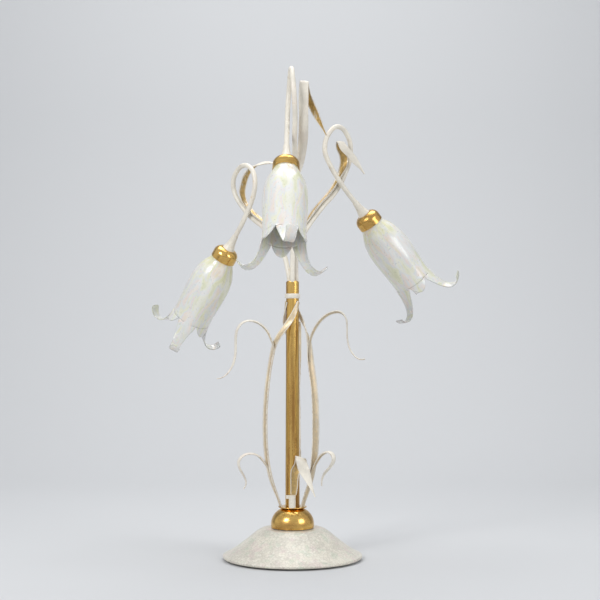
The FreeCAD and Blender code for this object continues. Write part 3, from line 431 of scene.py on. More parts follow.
def arc_path(points, first, last):
    """Line of smooth arcs through the points, and the points where its arcs meet."""
    n = len(points)
    tangents = [(points[min(i + 1, n - 1)] - points[max(i - 1, 0)]).normalized() for i in range(n)]
    tangents[0], tangents[-1] = first, last
    line, bends = [points[0]], [points[0]]
    for p, q, tp, tq in zip(points, points[1:], tangents, tangents[1:]):
        v = q - p
        a, b, c = 2 * (1 - tp.dot(tq)), 2 * v.dot(tp + tq), -v.dot(v)
        d = -c / b if a < 1e-9 else (-b + math.sqrt(b * b - 4 * a * c)) / (2 * a)
        join = (p + tp * d + q - tq * d) * 0.5
        turn = ((q - tq * d) - (p + tp * d)).normalized()
        line += arc_points(p, tp, join) + arc_points(join, turn, q)
        bends += [join, q]
    return line, bends


# ---------------------------------------------------------------- meshes
def paint(mesh, finish):
    mesh.materials.clear()
    mesh.materials.append(finish)


def linked(name, data):
    obj = bpy.data.objects.new(name, data)
    bpy.context.scene.collection.objects.link(obj)
    return obj


def new_piece(name, mesh, finish, slot, body, *replaced):
    """Links a mesh as a piece that rides on a body and stands for its solids."""
    paint(mesh, finish)
    obj = linked(name, mesh)
    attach(obj, body)
    if replaced:
        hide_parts(*replaced)


def line_mesh(name, points, **attributes):
    """Chain of edges through points in millimetres, with values on its points."""
    mesh = bpy.data.meshes.new(name)
    places = [p * MM for p in points]
    mesh.from_pydata([tuple(p) for p in places], [(i, i + 1) for i in range(len(places) - 1)], [])
    attributes["spine"] = places
    for key, values in attributes.items():
        is_vector = isinstance(values[0], Vector)
        layer = mesh.attributes.new(key, "FLOAT_VECTOR" if is_vector else "FLOAT", "POINT")
        flat = [c for v in values for c in v] if is_vector else values
        layer.data.foreach_set("vector" if is_vector else "value", flat)
    return mesh


def flattened(obj, name):
    """The evaluated object as a plain mesh, with only the attributes that its finish reads."""
    bpy.context.view_layer.update()
    graph = bpy.context.evaluated_depsgraph_get()
    mesh = bpy.data.meshes.new_from_object(obj.evaluated_get(graph))
    for key in ("spine", "normal_dir", "side_dir", "half_width", "cup", "ring_place"):
        if key in mesh.attributes:
            mesh.attributes.remove(mesh.attributes[key])
    mesh.name = name
    bpy.data.objects.remove(obj)
    return mesh


def baked(name, mesh, tree, finish, values):
    """Runs a geometry tree on a mesh and gives back what it makes."""
    values = {**values, "Material": finish}
    obj = linked(name + "_source", mesh)
    modifier = obj.modifiers.new("Make", "NODES")
    modifier.node_group = tree
    for item in tree.interface.items_tree:
        if item.item_type == "SOCKET" and item.in_out == "INPUT" and item.name in values:
            modifier[item.identifier] = values[item.name]
    return flattened(obj, name)


def new_tree(name, inputs):
    tree = bpy.data.node_groups.new(name, "GeometryNodeTree")
    tree.interface.new_socket("Geometry", in_out="INPUT", socket_type="NodeSocketGeometry")
    for label, kind, default in inputs:
        socket = tree.interface.new_socket(label, in_out="INPUT", socket_type=kind)
        if default is not None:
            socket.default_value = default
    tree.interface.new_socket("Geometry", in_out="OUTPUT", socket_type="NodeSocketGeometry")
    graph = Graph(tree)
    entry = tree.nodes.new("NodeGroupInput")
    given = {s.name: Socket(graph, s) for s in entry.outputs if s.name}
    return graph, given


def finish_tree(graph, geometry, material):
    """Every tree ends by realising its instances and setting its material."""
    smooth = graph.add("GeometryNodeSetShadeSmooth", None, {"Geometry": geometry})
    real = graph.add("GeometryNodeRealizeInstances", None, {0: smooth})
    made = graph.add("GeometryNodeSetMaterial", None, {"Geometry": real, "Material": material})
    graph.link(made, graph.tree.nodes.new("NodeGroupOutput").inputs[0])
    return graph.tree


def named(graph, name, kind="FLOAT"):
    return graph.add("GeometryNodeInputNamedAttribute", {"data_type": kind}, {"Name": name})


def stored(graph, geometry, name, value, kind="FLOAT_VECTOR"):
    node = graph.raw("GeometryNodeStoreNamedAttribute", {"data_type": kind, "domain": "POINT"},
                     {"Geometry": geometry, "Name": name})
    graph.link(value, node.inputs["Value"])
    return Socket(graph, node.outputs[0])


def combined(graph, x, y, z):
    return graph.add("ShaderNodeCombineXYZ", None, {0: x, 1: y, 2: z})


def dented(graph, place, seed, scale):
    """Hammer marks: smooth noise about zero."""
    noise_value = graph.add("ShaderNodeTexNoise", {"noise_dimensions": "4D"},
                            {"Vector": place, "W": seed, "Scale": scale, "Detail": 1.5})
    return noise_value - 0.5


def gutter_tree():
    """Sheet strip that follows a line: rounded rims, a gutter of given cup, hammer marks."""
    graph, given = new_tree("Gutter strip", [
        ("Thickness", "NodeSocketFloat", 0.0014), ("Relief", "NodeSocketFloat", 0.0002),
        ("Seed", "NodeSocketFloat", 0.0), ("Section Points", "NodeSocketInt", 32),
        ("Material", "NodeSocketMaterial", None)])
    ring = graph.add("GeometryNodeCurvePrimitiveCircle", None,
                     {"Resolution": given["Section Points"], "Radius": 1.0})
    place = graph.add("GeometryNodeInputPosition")
    ring = stored(graph, ring, "ring_place", place)
    line = graph.add("GeometryNodeMeshToCurve", None, {"Mesh": given["Geometry"]})
    skin = graph.add("GeometryNodeCurveToMesh", None,
                     {"Curve": line, "Profile Curve": ring, "Fill Caps": True})
    across, height, _ = graph.split(named(graph, "ring_place", "FLOAT_VECTOR"))
    through = (height * 5.2).at_most(1.0).at_least(-1.0)
    reach = across * named(graph, "half_width")
    side = graph.scaled(named(graph, "side_dir", "FLOAT_VECTOR"), reach)
    middle = graph.vector("ADD", named(graph, "spine", "FLOAT_VECTOR"), side)
    relief = dented(graph, middle, given["Seed"], 150.0) * given["Relief"] * 2
    rise = named(graph, "cup") * across * across + through * given["Thickness"] * 0.5 + relief
    lift = graph.scaled(named(graph, "normal_dir", "FLOAT_VECTOR"), rise)
    skin = graph.add("GeometryNodeSetPosition", None,
                     {"Geometry": skin, "Position": graph.vector("ADD", middle, lift)})
    skin = stored(graph, skin, "section", combined(graph, across, through, 0.0))
    return finish_tree(graph, skin, given["Material"])


def bar_tree():
    """Round bar that follows a line, with shallow hammer marks."""
    graph, given = new_tree("Round bar", [
        ("Radius", "NodeSocketFloat", 0.0036), ("Relief", "NodeSocketFloat", 0.0001),
        ("Seed", "NodeSocketFloat", 0.0), ("Section Points", "NodeSocketInt", 28),
        ("Material", "NodeSocketMaterial", None)])
    ring = graph.add("GeometryNodeCurvePrimitiveCircle", None,
                     {"Resolution": given["Section Points"], "Radius": given["Radius"]})
    line = graph.add("GeometryNodeMeshToCurve", None, {"Mesh": given["Geometry"]})
    skin = graph.add("GeometryNodeCurveToMesh", None,
                     {"Curve": line, "Profile Curve": ring, "Fill Caps": True})
    place = graph.add("GeometryNodeInputPosition")
    relief = (dented(graph, place, given["Seed"], 220.0) - 0.35) * given["Relief"]
    outwards = graph.add("GeometryNodeInputNormal")
    skin = graph.add("GeometryNodeSetPosition", None,
                     {"Geometry": skin, "Offset": graph.scaled(outwards, relief)})
    return finish_tree(graph, skin, given["Material"])


def eased(profile, steps=5):
    """Profile of (radius, height, rounding) corners with the rounded ones cut back smoothly."""
    corners = [(Vector(c[:2]), c[2] if len(c) > 2 else 0.0) for c in profile]
    out = []
    for i, (p, ease) in enumerate(corners):
        if not ease:
            out.append(p)
            continue
        a = p + (corners[i - 1][0] - p).normalized() * ease
        b = p + (corners[(i + 1) % len(corners)][0] - p).normalized() * ease
        for k in range(steps + 1):
            f = k / steps
            out.append(a * (1 - f) ** 2 + p * (2 * f * (1 - f)) + b * f ** 2)
    return [tuple(q) for q in out]


def lathe(name, profile, segments, place=Matrix()):
    """Closed turned solid from (radius, height) points in millimetres."""
    bm = bmesh.new()
    rings = []
    for r, z in profile:
        if r < 1e-6:
            rings.append([bm.verts.new((0, 0, z * MM))] * segments)
            continue
        turns = [2 * math.pi * i / segments for i in range(segments)]
        rings.append([bm.verts.new((r * MM * math.cos(a), r * MM * math.sin(a), z * MM))
                      for a in turns])
    for a, b in zip(rings, rings[1:] + rings[:1]):
        for i in range(segments):
            j = (i + 1) % segments
            corners = list(dict.fromkeys([a[i], a[j], b[j], b[i]]))
            if len(corners) > 2:
                bm.faces.new(corners)
    bmesh.ops.remove_doubles(bm, verts=bm.verts, dist=1e-7)
    bmesh.ops.recalc_face_normals(bm, faces=bm.faces)
    bmesh.ops.transform(bm, matrix=place, verts=bm.verts)
    mesh = bpy.data.meshes.new(name)
    bm.to_mesh(mesh)
    bm.free()
    mesh.shade_smooth()
    mesh.set_sharp_from_angle(angle=math.radians(SHARP_ANGLE))
    return mesh


# ---------------------------------------------------------------- the lamp's lines, in millimetres
RING_TOP, STEM_TOP, PLUG_TOP = 75.1, 380.0, 398.0
FOOT_RADIUS, FOOT_TOP = 100.0, 44.0
DOME_Z, DOME_TOP, DOME_RADIUS, DOME_CROWN, DOME_WALL = 45.0, 72.5, 30.5, 15.0, 1.2
ROD_HOLE = 5.1
FOOT_SKIRT = [(38, 44), (44, 43.6), (50, 40.6), (61, 32), (75, 21.2), (88.5, 11.8), (98.8, 6.6)]
FOOT_LINING = [(91, 5), (84, 8.6), (72, 16.8), (58, 27.6), (47, 35.6), (40, 39)]
CAGE_AZIMUTHS = {"left": 200.0, "right": -38.0, "back": 84.0}
CAGE_SPINE = [(17.2, 0.0), (21.0, 0.042), (28.5, 0.114), (35.0, 0.203), (38.6, 0.318),
              (38.6, 0.449), (35.5, 0.574), (29.5, 0.698), (22.5, 0.797), (14.5, 0.872),
              (11.0, 0.921), (10.9, 0.961)]
CAGE_WIND_FROM, CAGE_TIP_SWEEP = 0.738, 125.0
UPPER_LEAVE, LOWER_LEAVE = 0.777, 0.203
UPPER_TENDRIL = [(31, 0), (37, 14), (48, 25), (62, 30), (76, 27), (84.5, 16), (86.5, -2),
                 (87.5, -22), (93.5, -39), (104, -50), (113, -52)]
LOWER_TENDRIL = [(40, 0), (50, 12), (62, 16.5), (75, 14), (82, 5), (80, -6), (74, -16),
                 (70.5, -25), (74, -34)]
LOWER_TENDRIL_SHORT = [(39, -1), (49, 12), (60, 17), (70, 15), (75, 6), (71, -5), (61, -15),
                       (54, -25), (53, -35)]
UPPER_TENDRILS = {"left": (0.0, 0.0, 0.0), "right": (12.0, 15.0, 13.0), "back": (0.0, 0.0, 0.0)}
LOWER_TENDRILS = {"left": (LOWER_TENDRIL, 0.0), "right": (LOWER_TENDRIL_SHORT, 6.0),
                  "back": (LOWER_TENDRIL, 0.0)}
ROOT_GAP = 0.55
ARM_PITCH_RADIUS, SOCKET_DEPTH, FERRULE_LENGTH = 5.6, 12.0, 23.0
RISE_SIDE, FALL_SIDE = 6.0, -4.5
LOOP = [(88.0, 17), (95.5, 43), (91.5, 67), (74.0, 82.5), (56.0, 70), (49.5, 46), (59.5, 22)]
ROUND_LOOP = [(96.0, 10), (110.0, 30), (112.5, 50), (102.0, 66), (87.0, 71.5), (72.0, 64),
              (65.0, 46), (69.0, 22)]
ARMS = {
    "left": {"azimuth": 144.0, "hand": -1, "cross": 100.0, "seat": (114.3, 49.0), "tilt": 35.5,
             "riser": [(8.5, 14), (17, 38), (32, 59), (54, 78), (78, 94)], "loop": ROUND_LOOP,
             "fall": [(86.5, 89)]},
    "right": {"azimuth": 24.0, "hand": 1, "cross": 143.0, "seat": (112.5, 98.5), "tilt": 40.5,
              "riser": [(6.2, 30), (11, 54), (24, 76), (47, 105), (72, 132)], "loop": LOOP,
              "fall": [(80.5, 135.5)]},
    "front": {"azimuth": -92.0, "hand": 1, "cross": 209.0, "seat": (100.0, 163.5), "tilt": 29.0,
              "riser": [(5.6, 72), (7.5, 110), (20, 138), (45, 170), (72, 198)], "loop": LOOP,
              "fall": [(78.0, 203.5)]},
}
LEAF_GAP = 0.4
LEAF_SPINES = {
    "left": [(97.5, -9.5, 22), (100.5, -10.0, 33), (98.5, -10.5, 45), (94.5, -11.0, 57),
             (87.5, -12.5, 67), (78.0, -14.0, 72.5), (63.0, -16.0, 75.5), (46.0, -18.5, 73)],
    "right": [(86.0, 7.5, 32), (82.5, 5.5, 45), (77.5, 4.0, 55), (76.0, -0.5, 61), (77.5, -5.0, 55),
              (85.5, -8.5, 44), (97.0, -11.0, 30), (109.0, -12.5, 14)],
    "front": [(32.0, 11.0, -45), (52.0, 16.0, -22), (72.0, 18.0, -2), (80.0, 18.4, 22),
              (81.5, 18.6, 44), (79.0, 18.8, 58), (74.5, 19.4, 65), (70.0, 20.8, 58),
              (68.5, 27.5, 38), (67.5, 38.5, 14), (66.5, 50.0, -9)],
}
LEAF_ROOTS = {"left": (-65.0, 12.0), "right": (-70.0, 19.0), "front": (-101.0, -70.0)}
LEAF_TWISTS = {
    "left": [(0, 0), (0.74, 0), (1, 70)],
    "right": [(0, 0), (0.42, 0), (0.64, 70), (0.7, 74), (0.82, 108), (1, 108)],
    "front": [(0, 0), (1, 0)],
}
LEAF_THICK, TENDRIL_THICK, TENDRIL_RELIEF = 1.4, 1.2, 0.6
UPPER_ROOT, LOWER_ROOT = 30.0, 26.0
FRONT_LEAF_Y, FRONT_LEAF_FOOT, FRONT_LEAF_TOP, FOLD_RADIUS = -16.4, 18.6, 71.9, 3.6
FRONT_LEAF_TWIST = [(0, 0), (0.5, 0), (0.64, 37), (1, 37)]
# widths of each kind of strip, and how far its edges stand up, at fractions of its length
WIDTHS = {
    "cage": [(0, 8.0), (0.12, 10.5), (0.3, 15.0), (0.7, 13.95), (0.86, 9.0), (1, 6.0)],
    "tendril": [(0, 3.0), (0.1, 5.1), (0.3, 6.4), (0.5, 8.6), (0.75, 8.0), (1, 1.6)],
    "front": [(0, 8.5), (0.12, 10.9), (0.35, 13.9), (0.5, 16.5), (0.6, 15.7), (1, 2.0)],
    "arm": [(0, 6.0), (0.1, 10.8), (0.4, 13.5), (0.66, 12.8), (0.85, 10.8), (1, 2.0)],
}
CUPS = {
    "cage": [(0, 0.8), (0.15, 3.2), (0.75, 3.2), (0.88, 0.6), (1, -0.8)],
    "tendril": [(0, 0.3), (0.12, 0.4), (0.3, 1.8), (0.8, 1.26), (1, 0.2)],
    "front": [(0, 1.0), (0.15, 2.4), (0.36, 2.0), (0.42, 0.3), (0.58, 0.3), (0.7, -1.6), (1, -0.4)],
    "arm": [(0, 1.2), (0.12, 3.0), (0.5, 3.0), (0.58, 0.6), (0.7, 0.6), (0.8, 1.4), (1, 0.3)],
}
RING_RADIUS, COLLAR_HEIGHT = 20.5, 7.0
STEM_R_LOW, STEM_R_HIGH, STEM_WALL_R = 10.3, 9.1, 7.9
CUP_RADIUS, CUP_HEIGHT, CUP_WALL = 18.6, 18.0, 0.9
BULB_TOP, BULB_RADIUS, BULB_LENGTH = -29.3, 7.0, 38.0
THREAD_RADIUS, THREAD_LOW, THREAD_PITCH, THREAD_TURNS, THREAD_STEPS = 10.95, -25.2, 2.0, 5, 28
# outer and inner points of a shade's neck: radius and distance from the arm
SHADE_NECK = [((11.3, 9.6), (11.3, 12.0)), ((13.4, 9.6), (12.9, 12.0)), ((15.5, 9.6), (14.1, 12.0)),
              ((16.6, 9.95), (14.5, 12.3)), ((17.0, 11.0), (14.6, 12.9)), ((17.0, 13.2), (14.6, 14.0))]
FINE_ROWS, BODY_ROWS, HOOK_ROWS, LOBE_ROWS = 700, 24, 27, 8
TIP_ROUND, CLEAR_EDGE, RAGGED, GLASS_WAVE = 2.5, 6, 0.7, 0.35
HOOK_START = 170        # length of glass at which the hooks turn over
SHADE_BODY = [(17.0, 15.5), (17.4, 19), (22.4, 29), (27.8, 42), (30.6, 60), (30.9, 82),
              (29.6, 104), (29.4, 120), (31.6, 136), (36.5, 149), (45.5, 158.5), (56.0, 159.5),
              (63.8, 154.5), (67.2, 147.5)]
PETAL_EDGE = [(18.0, 112), (15.6, 124), (12.6, 134), (9.8, 144), (7.6, 154), (6.8, 166)]
LOBE_EDGE = [(18.0, 112), (14.6, 123), (11.4, 130), (6.6, 136.5), (0.0, 139.0)]
NOTCH = 124.6
SHADE_SPIN = {"left": 123.0, "right": 70.0, "front": 10.0}
# how far each petal reaches, as a share, and how far its tip droops and leans aside
PETAL_HABITS = {
    "left": [(0.97, 2.0, 2.0), (0.93, 3.5, -3.0), (0.96, -1.0, 2.5)],
    "right": [(0.98, 1.0, -2.0), (0.95, 2.0, 3.0), (0.97, -1.5, -1.0)],
    "front": [(0.97, -1.0, 2.0), (0.98, 1.5, -2.5), (0.95, 2.0, 1.5)],
}


def stem_height(share):
    return RING_TOP + share * (STEM_TOP - RING_TOP)


def cage_spine():
    top = CAGE_SPINE[-1][1]
    points = []
    for r, share in CAGE_SPINE:
        f = max(0.0, (share - CAGE_WIND_FROM) / (top - CAGE_WIND_FROM))
        points.append(polar(r, CAGE_TIP_SWEEP * f ** 1.6, stem_height(share)))
    return points


def cage_place(fine, z):
    p, t = min(fine, key=lambda sample: abs(sample[0].z - z))
    opening = Vector((p.x, p.y, 0)).normalized()
    return p, (opening - t * opening.dot(t)).normalized()


def strip_mesh(name, tree, finish, samples, normals, widths, cups, azimuth, thick, relief, seed):
    """Sheet strip along the samples, turned about the lamp's axis."""
    turn = Matrix.Rotation(math.radians(azimuth), 3, "Z")
    places, ups, sides, halves, rises = [], [], [], [], []
    for i, ((p, t), n, width, cup) in enumerate(zip(samples, normals, widths, cups)):
        n = (n - t * n.dot(t)).normalized()
        uneven = 1 + 0.07 * noise.noise(Vector((i * 0.11, seed * 3.7, 0)))
        places.append(turn @ p)
        ups.append(turn @ n)
        sides.append(turn @ t.cross(n))
        halves.append(width / 2 * MM * uneven)
        rises.append(cup * MM)
    source = line_mesh(name, places, normal_dir=ups, side_dir=sides, half_width=halves, cup=rises)
    return baked(name, source, tree, finish, {"Thickness": thick, "Relief": relief, "Seed": seed})


def section(kind, count):
    """Widths and cups of a kind of strip at count even places."""
    return ramp(WIDTHS[kind], count), ramp(CUPS[kind], count)


def cage_leaf_strip(count=130):
    samples = Spline(cage_spine()).even(count)
    samples[0] = (samples[0][0], Vector((0, 0, 1)))
    normals = [Vector((p.x, p.y, 0)).normalized() for p, t in samples]
    return samples, normals, *section("cage", count)


def tendril_strip(route, leave, turn, lift, tail_lift, root_below, count=110):
    off = LEAF_THICK / 2 + ROOT_GAP + TENDRIL_THICK / 2
    base = stem_height(leave)
    fine = Spline(cage_spine()).even(160)
    points = []
    for f in (1.0, 0.8, 0.6, 0.4):
        p, opening = cage_place(fine, base + route[0][1] - root_below * f)
        points.append(p + opening * off)
    for i, (r, rise) in enumerate(route):
        f = min(1.0, i / 4)
        g = max(0.0, (i - 4) / (len(route) - 5))
        points.append(polar(r, turn * f, base + rise + lift * f + tail_lift * g))
    samples = Spline(points).even(count)
    return samples, carried_normals(samples, Vector((1, 0, 0))), *section("tendril", count)


def front_leaf_strip(count=150):
    y, r = FRONT_LEAF_Y, FOLD_RADIUS
    z0, top = RING_TOP + FRONT_LEAF_FOOT, RING_TOP + FRONT_LEAF_TOP
    spine = [(1.4, y, z0), (2.6, y - 0.4, z0 + 18), (5.4, y - 0.8, z0 + 36),
             (10.4, y - 1.2, top - 8), (11.8, y - 1.2 - r, top), (13.4, y - 1.2 - 2 * r, top - 8),
             (19.0, y - 12.5, top - 22), (25.6, y - 17.0, top - 38), (32.0, y - 19.0, top - 54)]
    samples = Spline(spine).even(count)
    normals = twisted(samples, carried_normals(samples, Vector((0, -1, 0))), FRONT_LEAF_TWIST)
    return samples, normals, *section("front", count)


def head_down(name):
    a = math.radians(ARMS[name]["tilt"])
    return Vector((math.sin(a), 0, -math.cos(a)))


def head_seat(name):
    r, rise = ARMS[name]["seat"]
    return Vector((r, FALL_SIDE * ARMS[name]["hand"], PLUG_TOP + rise))


def head_matrix(name, spin=0.0):
    """Places a piece drawn with its axis on Z, its arm end at 0 and its open end at -Z."""
    arm = ARMS[name]
    return (Matrix.Rotation(math.radians(arm["azimuth"]), 4, "Z")
            @ Matrix.Translation(head_seat(name) * MM)
            @ Matrix.Rotation(math.radians(-arm["tilt"]), 4, "Y")
            @ Matrix.Rotation(math.radians(spin), 4, "Z"))


def arm_line(name):
    """Centre line of an arm in its own radius, tangent and height, and where its arcs meet."""
    arm = ARMS[name]
    seat, down, hand = head_seat(name), head_down(name), arm["hand"]
    points = [Vector((ARM_PITCH_RADIUS, 0, PLUG_TOP - SOCKET_DEPTH)),
              Vector((ARM_PITCH_RADIUS, 0, PLUG_TOP))]
    for i, (r, rise) in enumerate(arm["riser"]):
        points.append(Vector((r, RISE_SIDE * hand * (i + 1) / len(arm["riser"]), PLUG_TOP + rise)))
    for i, (r, rise) in enumerate(arm["loop"]):
        f = eased_step(i / (len(arm["loop"]) - 1))
        side = RISE_SIDE + 1.0 + (FALL_SIDE - RISE_SIDE - 1.0) * f
        points.append(Vector((r, side * hand, PLUG_TOP + arm["cross"] + rise)))
    for r, rise in arm["fall"]:
        points.append(Vector((r, FALL_SIDE * hand, PLUG_TOP + rise)))
    points += [seat - down * (FERRULE_LENGTH + 1), seat]
    return arc_path(points, Vector((0, 0, 1)), down)


def arm_leaf_strip(name, arm_radius, count=170):
    cross_z = PLUG_TOP + ARMS[name]["cross"]
    low, high = LEAF_ROOTS[name]
    off = arm_radius + LEAF_GAP + LEAF_THICK / 2
    bends = arm_line(name)[1]
    spine = []
    for before, bend, after in zip(bends, bends[1:], bends[2:]):
        if bend.z < cross_z + low:
            continue
        if bend.z > cross_z + high:
            break
        along = (after - before).normalized()
        spine.append(bend + Vector((-along.z, 0, along.x)).normalized() * off)
    spine += [Vector((r, side, cross_z + z)) for r, side, z in LEAF_SPINES[name]]
    samples = Spline(spine).even(count)
    normals = twisted(samples, carried_normals(samples, Vector((-1, 0, 0.6))), LEAF_TWISTS[name])
    return samples, normals, *section("arm", count)


# ---------------------------------------------------------------- turned profiles, millimetres
def through(points, count):
    """Evenly spaced points of a smooth curve through (radius, height) points."""
    places = Spline([(r, 0, z) for r, z in points]).even(count)
    return [(p.x, p.z) for p, t in places]


def bow(a, b, c, count=16):
    """Points on the circle through three (radius, height) points."""
    (ax, ay), (bx, by), (cx, cy) = a, b, c
    d = 2 * (ax * (by - cy) + bx * (cy - ay) + cx * (ay - by))
    sa, sb, sc = ax * ax + ay * ay, bx * bx + by * by, cx * cx + cy * cy
    ux = (sa * (by - cy) + sb * (cy - ay) + sc * (ay - by)) / d
    uy = (sa * (cx - bx) + sb * (ax - cx) + sc * (bx - ax)) / d
    radius = math.hypot(ax - ux, ay - uy)
    first, last = math.atan2(ay - uy, ax - ux), math.atan2(cy - uy, cx - ux)
    swing = (last - first + math.pi) % (2 * math.pi) - math.pi
    return [(ux + radius * math.cos(first + swing * i / count),
             uy + radius * math.sin(first + swing * i / count)) for i in range(count + 1)]


def foot_profile():
    rim = bow(FOOT_SKIRT[-1], (FOOT_RADIUS, 4.3), (97.7, 2.0), 8)
    return ([(6.0, FOOT_TOP)] + through(FOOT_SKIRT, 40)[:-1] + rim + [(92.0, 2.0)]
            + through(FOOT_LINING, 30) + [(6.0, 39.0)])


def dome_profile():
    def skin(inset):
        return bow((DOME_RADIUS - inset, DOME_Z),
                   (DOME_RADIUS * 0.905 - inset * 0.9, DOME_Z + 17.05 - inset * 0.4),
                   (DOME_CROWN, DOME_TOP - inset), 28)
    hole = [(ROD_HOLE, DOME_TOP), (ROD_HOLE, DOME_TOP - DOME_WALL)]
    return skin(0.0) + hole + skin(DOME_WALL)[::-1]


def ring_profile():
    return eased([(ROD_HOLE, DOME_TOP), (14.5, DOME_TOP), (19.9, 73.7, 0.4), (RING_RADIUS, 74.3, 0.4),
                  (RING_RADIUS, RING_TOP, 0.5), (ROD_HOLE, RING_TOP)])


def stem_profile():
    return [(STEM_R_HIGH, RING_TOP), (STEM_R_LOW, RING_TOP), (STEM_R_HIGH, STEM_TOP),
            (STEM_WALL_R, STEM_TOP)]


def collar_profile():
    z0 = STEM_TOP - COLLAR_HEIGHT
    return eased([(9.35, z0), (10.2, z0, 0.3), (11.0, z0 + 1.2, 0.6), (11.0, STEM_TOP - 1.2, 0.6),
                  (10.2, STEM_TOP, 0.3), (9.2, STEM_TOP)])


def ferrule_profile():
    return eased([(3.7, 23.0), (4.4, 23.0, 0.3), (5.1, 15.0, 2.5), (6.6, 8.0, 2.5), (8.4, 2.2, 0.8),
                  (9.0, 1.0, 0.4), (9.0, 0.0, 0.2), (5.1, 0.0), (5.1, 5.2), (3.7, 5.2)])


def cup_profile():
    def skin(inset):
        r = CUP_RADIUS - inset
        side = bow((11.0, -inset), (16.8 - inset * 0.7, -4.2 - inset * 0.7), (r, -11.0))
        return [(ROD_HOLE, -inset)] + side + [(r, -17.2), (r, -CUP_HEIGHT)]
    return skin(0.0) + skin(CUP_WALL)[::-1]


def bulb_profile():
    top, r = BULB_TOP, BULB_RADIUS
    end = top - BULB_LENGTH
    return (([(0.0, top)] + bow((5.2, top), (r - 0.3, top - 2.25), (r, top - 5.0), 8)
             + [(r, top - 18.0)]
             + [(r * math.cos(a), end + r - r * math.sin(a))
                for a in np.linspace(0, math.pi / 2, 12)[:-1]] + [(0.0, end)]))


# ---------------------------------------------------------------- tulip shade
def edge_at(edge, u):
    """Half width at a distance along the axis."""
    return float(np.interp(u, [e[1] for e in edge], [e[0] for e in edge]))


def lobe_end(y):
    """Distance along the axis at which a lobe ends, at a lateral place."""
    halves, us = [e[0] for e in LOBE_EDGE][::-1], [e[1] for e in LOBE_EDGE][::-1]
    smooth = float(np.interp(abs(y), halves, us))
    return smooth + RAGGED * noise.noise(Vector((y * 0.45, 3.1, 0))) * min(1.0, (14.0 - abs(y)) / 5)


def shade_rows(wall, tip_wall):
    """Profile rows (radius, distance, inner radius, inner distance, length) and the notch's row."""
    fine = Spline([(r, 0, u) for r, u in SHADE_BODY]).even(FINE_ROWS)
    last = FINE_ROWS - 1
    cut = next(i for i, (p, t) in enumerate(fine) if p.z >= NOTCH)
    picks = [round(i) for i in np.linspace(0, cut, BODY_ROWS)]
    picks += [round(i) for i in np.linspace(cut, last, HOOK_ROWS)][1:]
    run = SHADE_BODY[0][1]
    rows = [(r, u, ri, ui, u) for (r, u), (ri, ui) in SHADE_NECK]
    for k, i in enumerate(picks):
        p, t = fine[i]
        if k:
            run += (p - fine[picks[k - 1]][0]).length
        w = wall + (tip_wall - wall) * i / last
        rows.append((p.x, p.z, p.x - t.z * w, p.z + t.x * w, run))
    return rows, len(SHADE_NECK) + BODY_ROWS - 1


def clamped(x):
    return max(0.0, min(1.0, x))


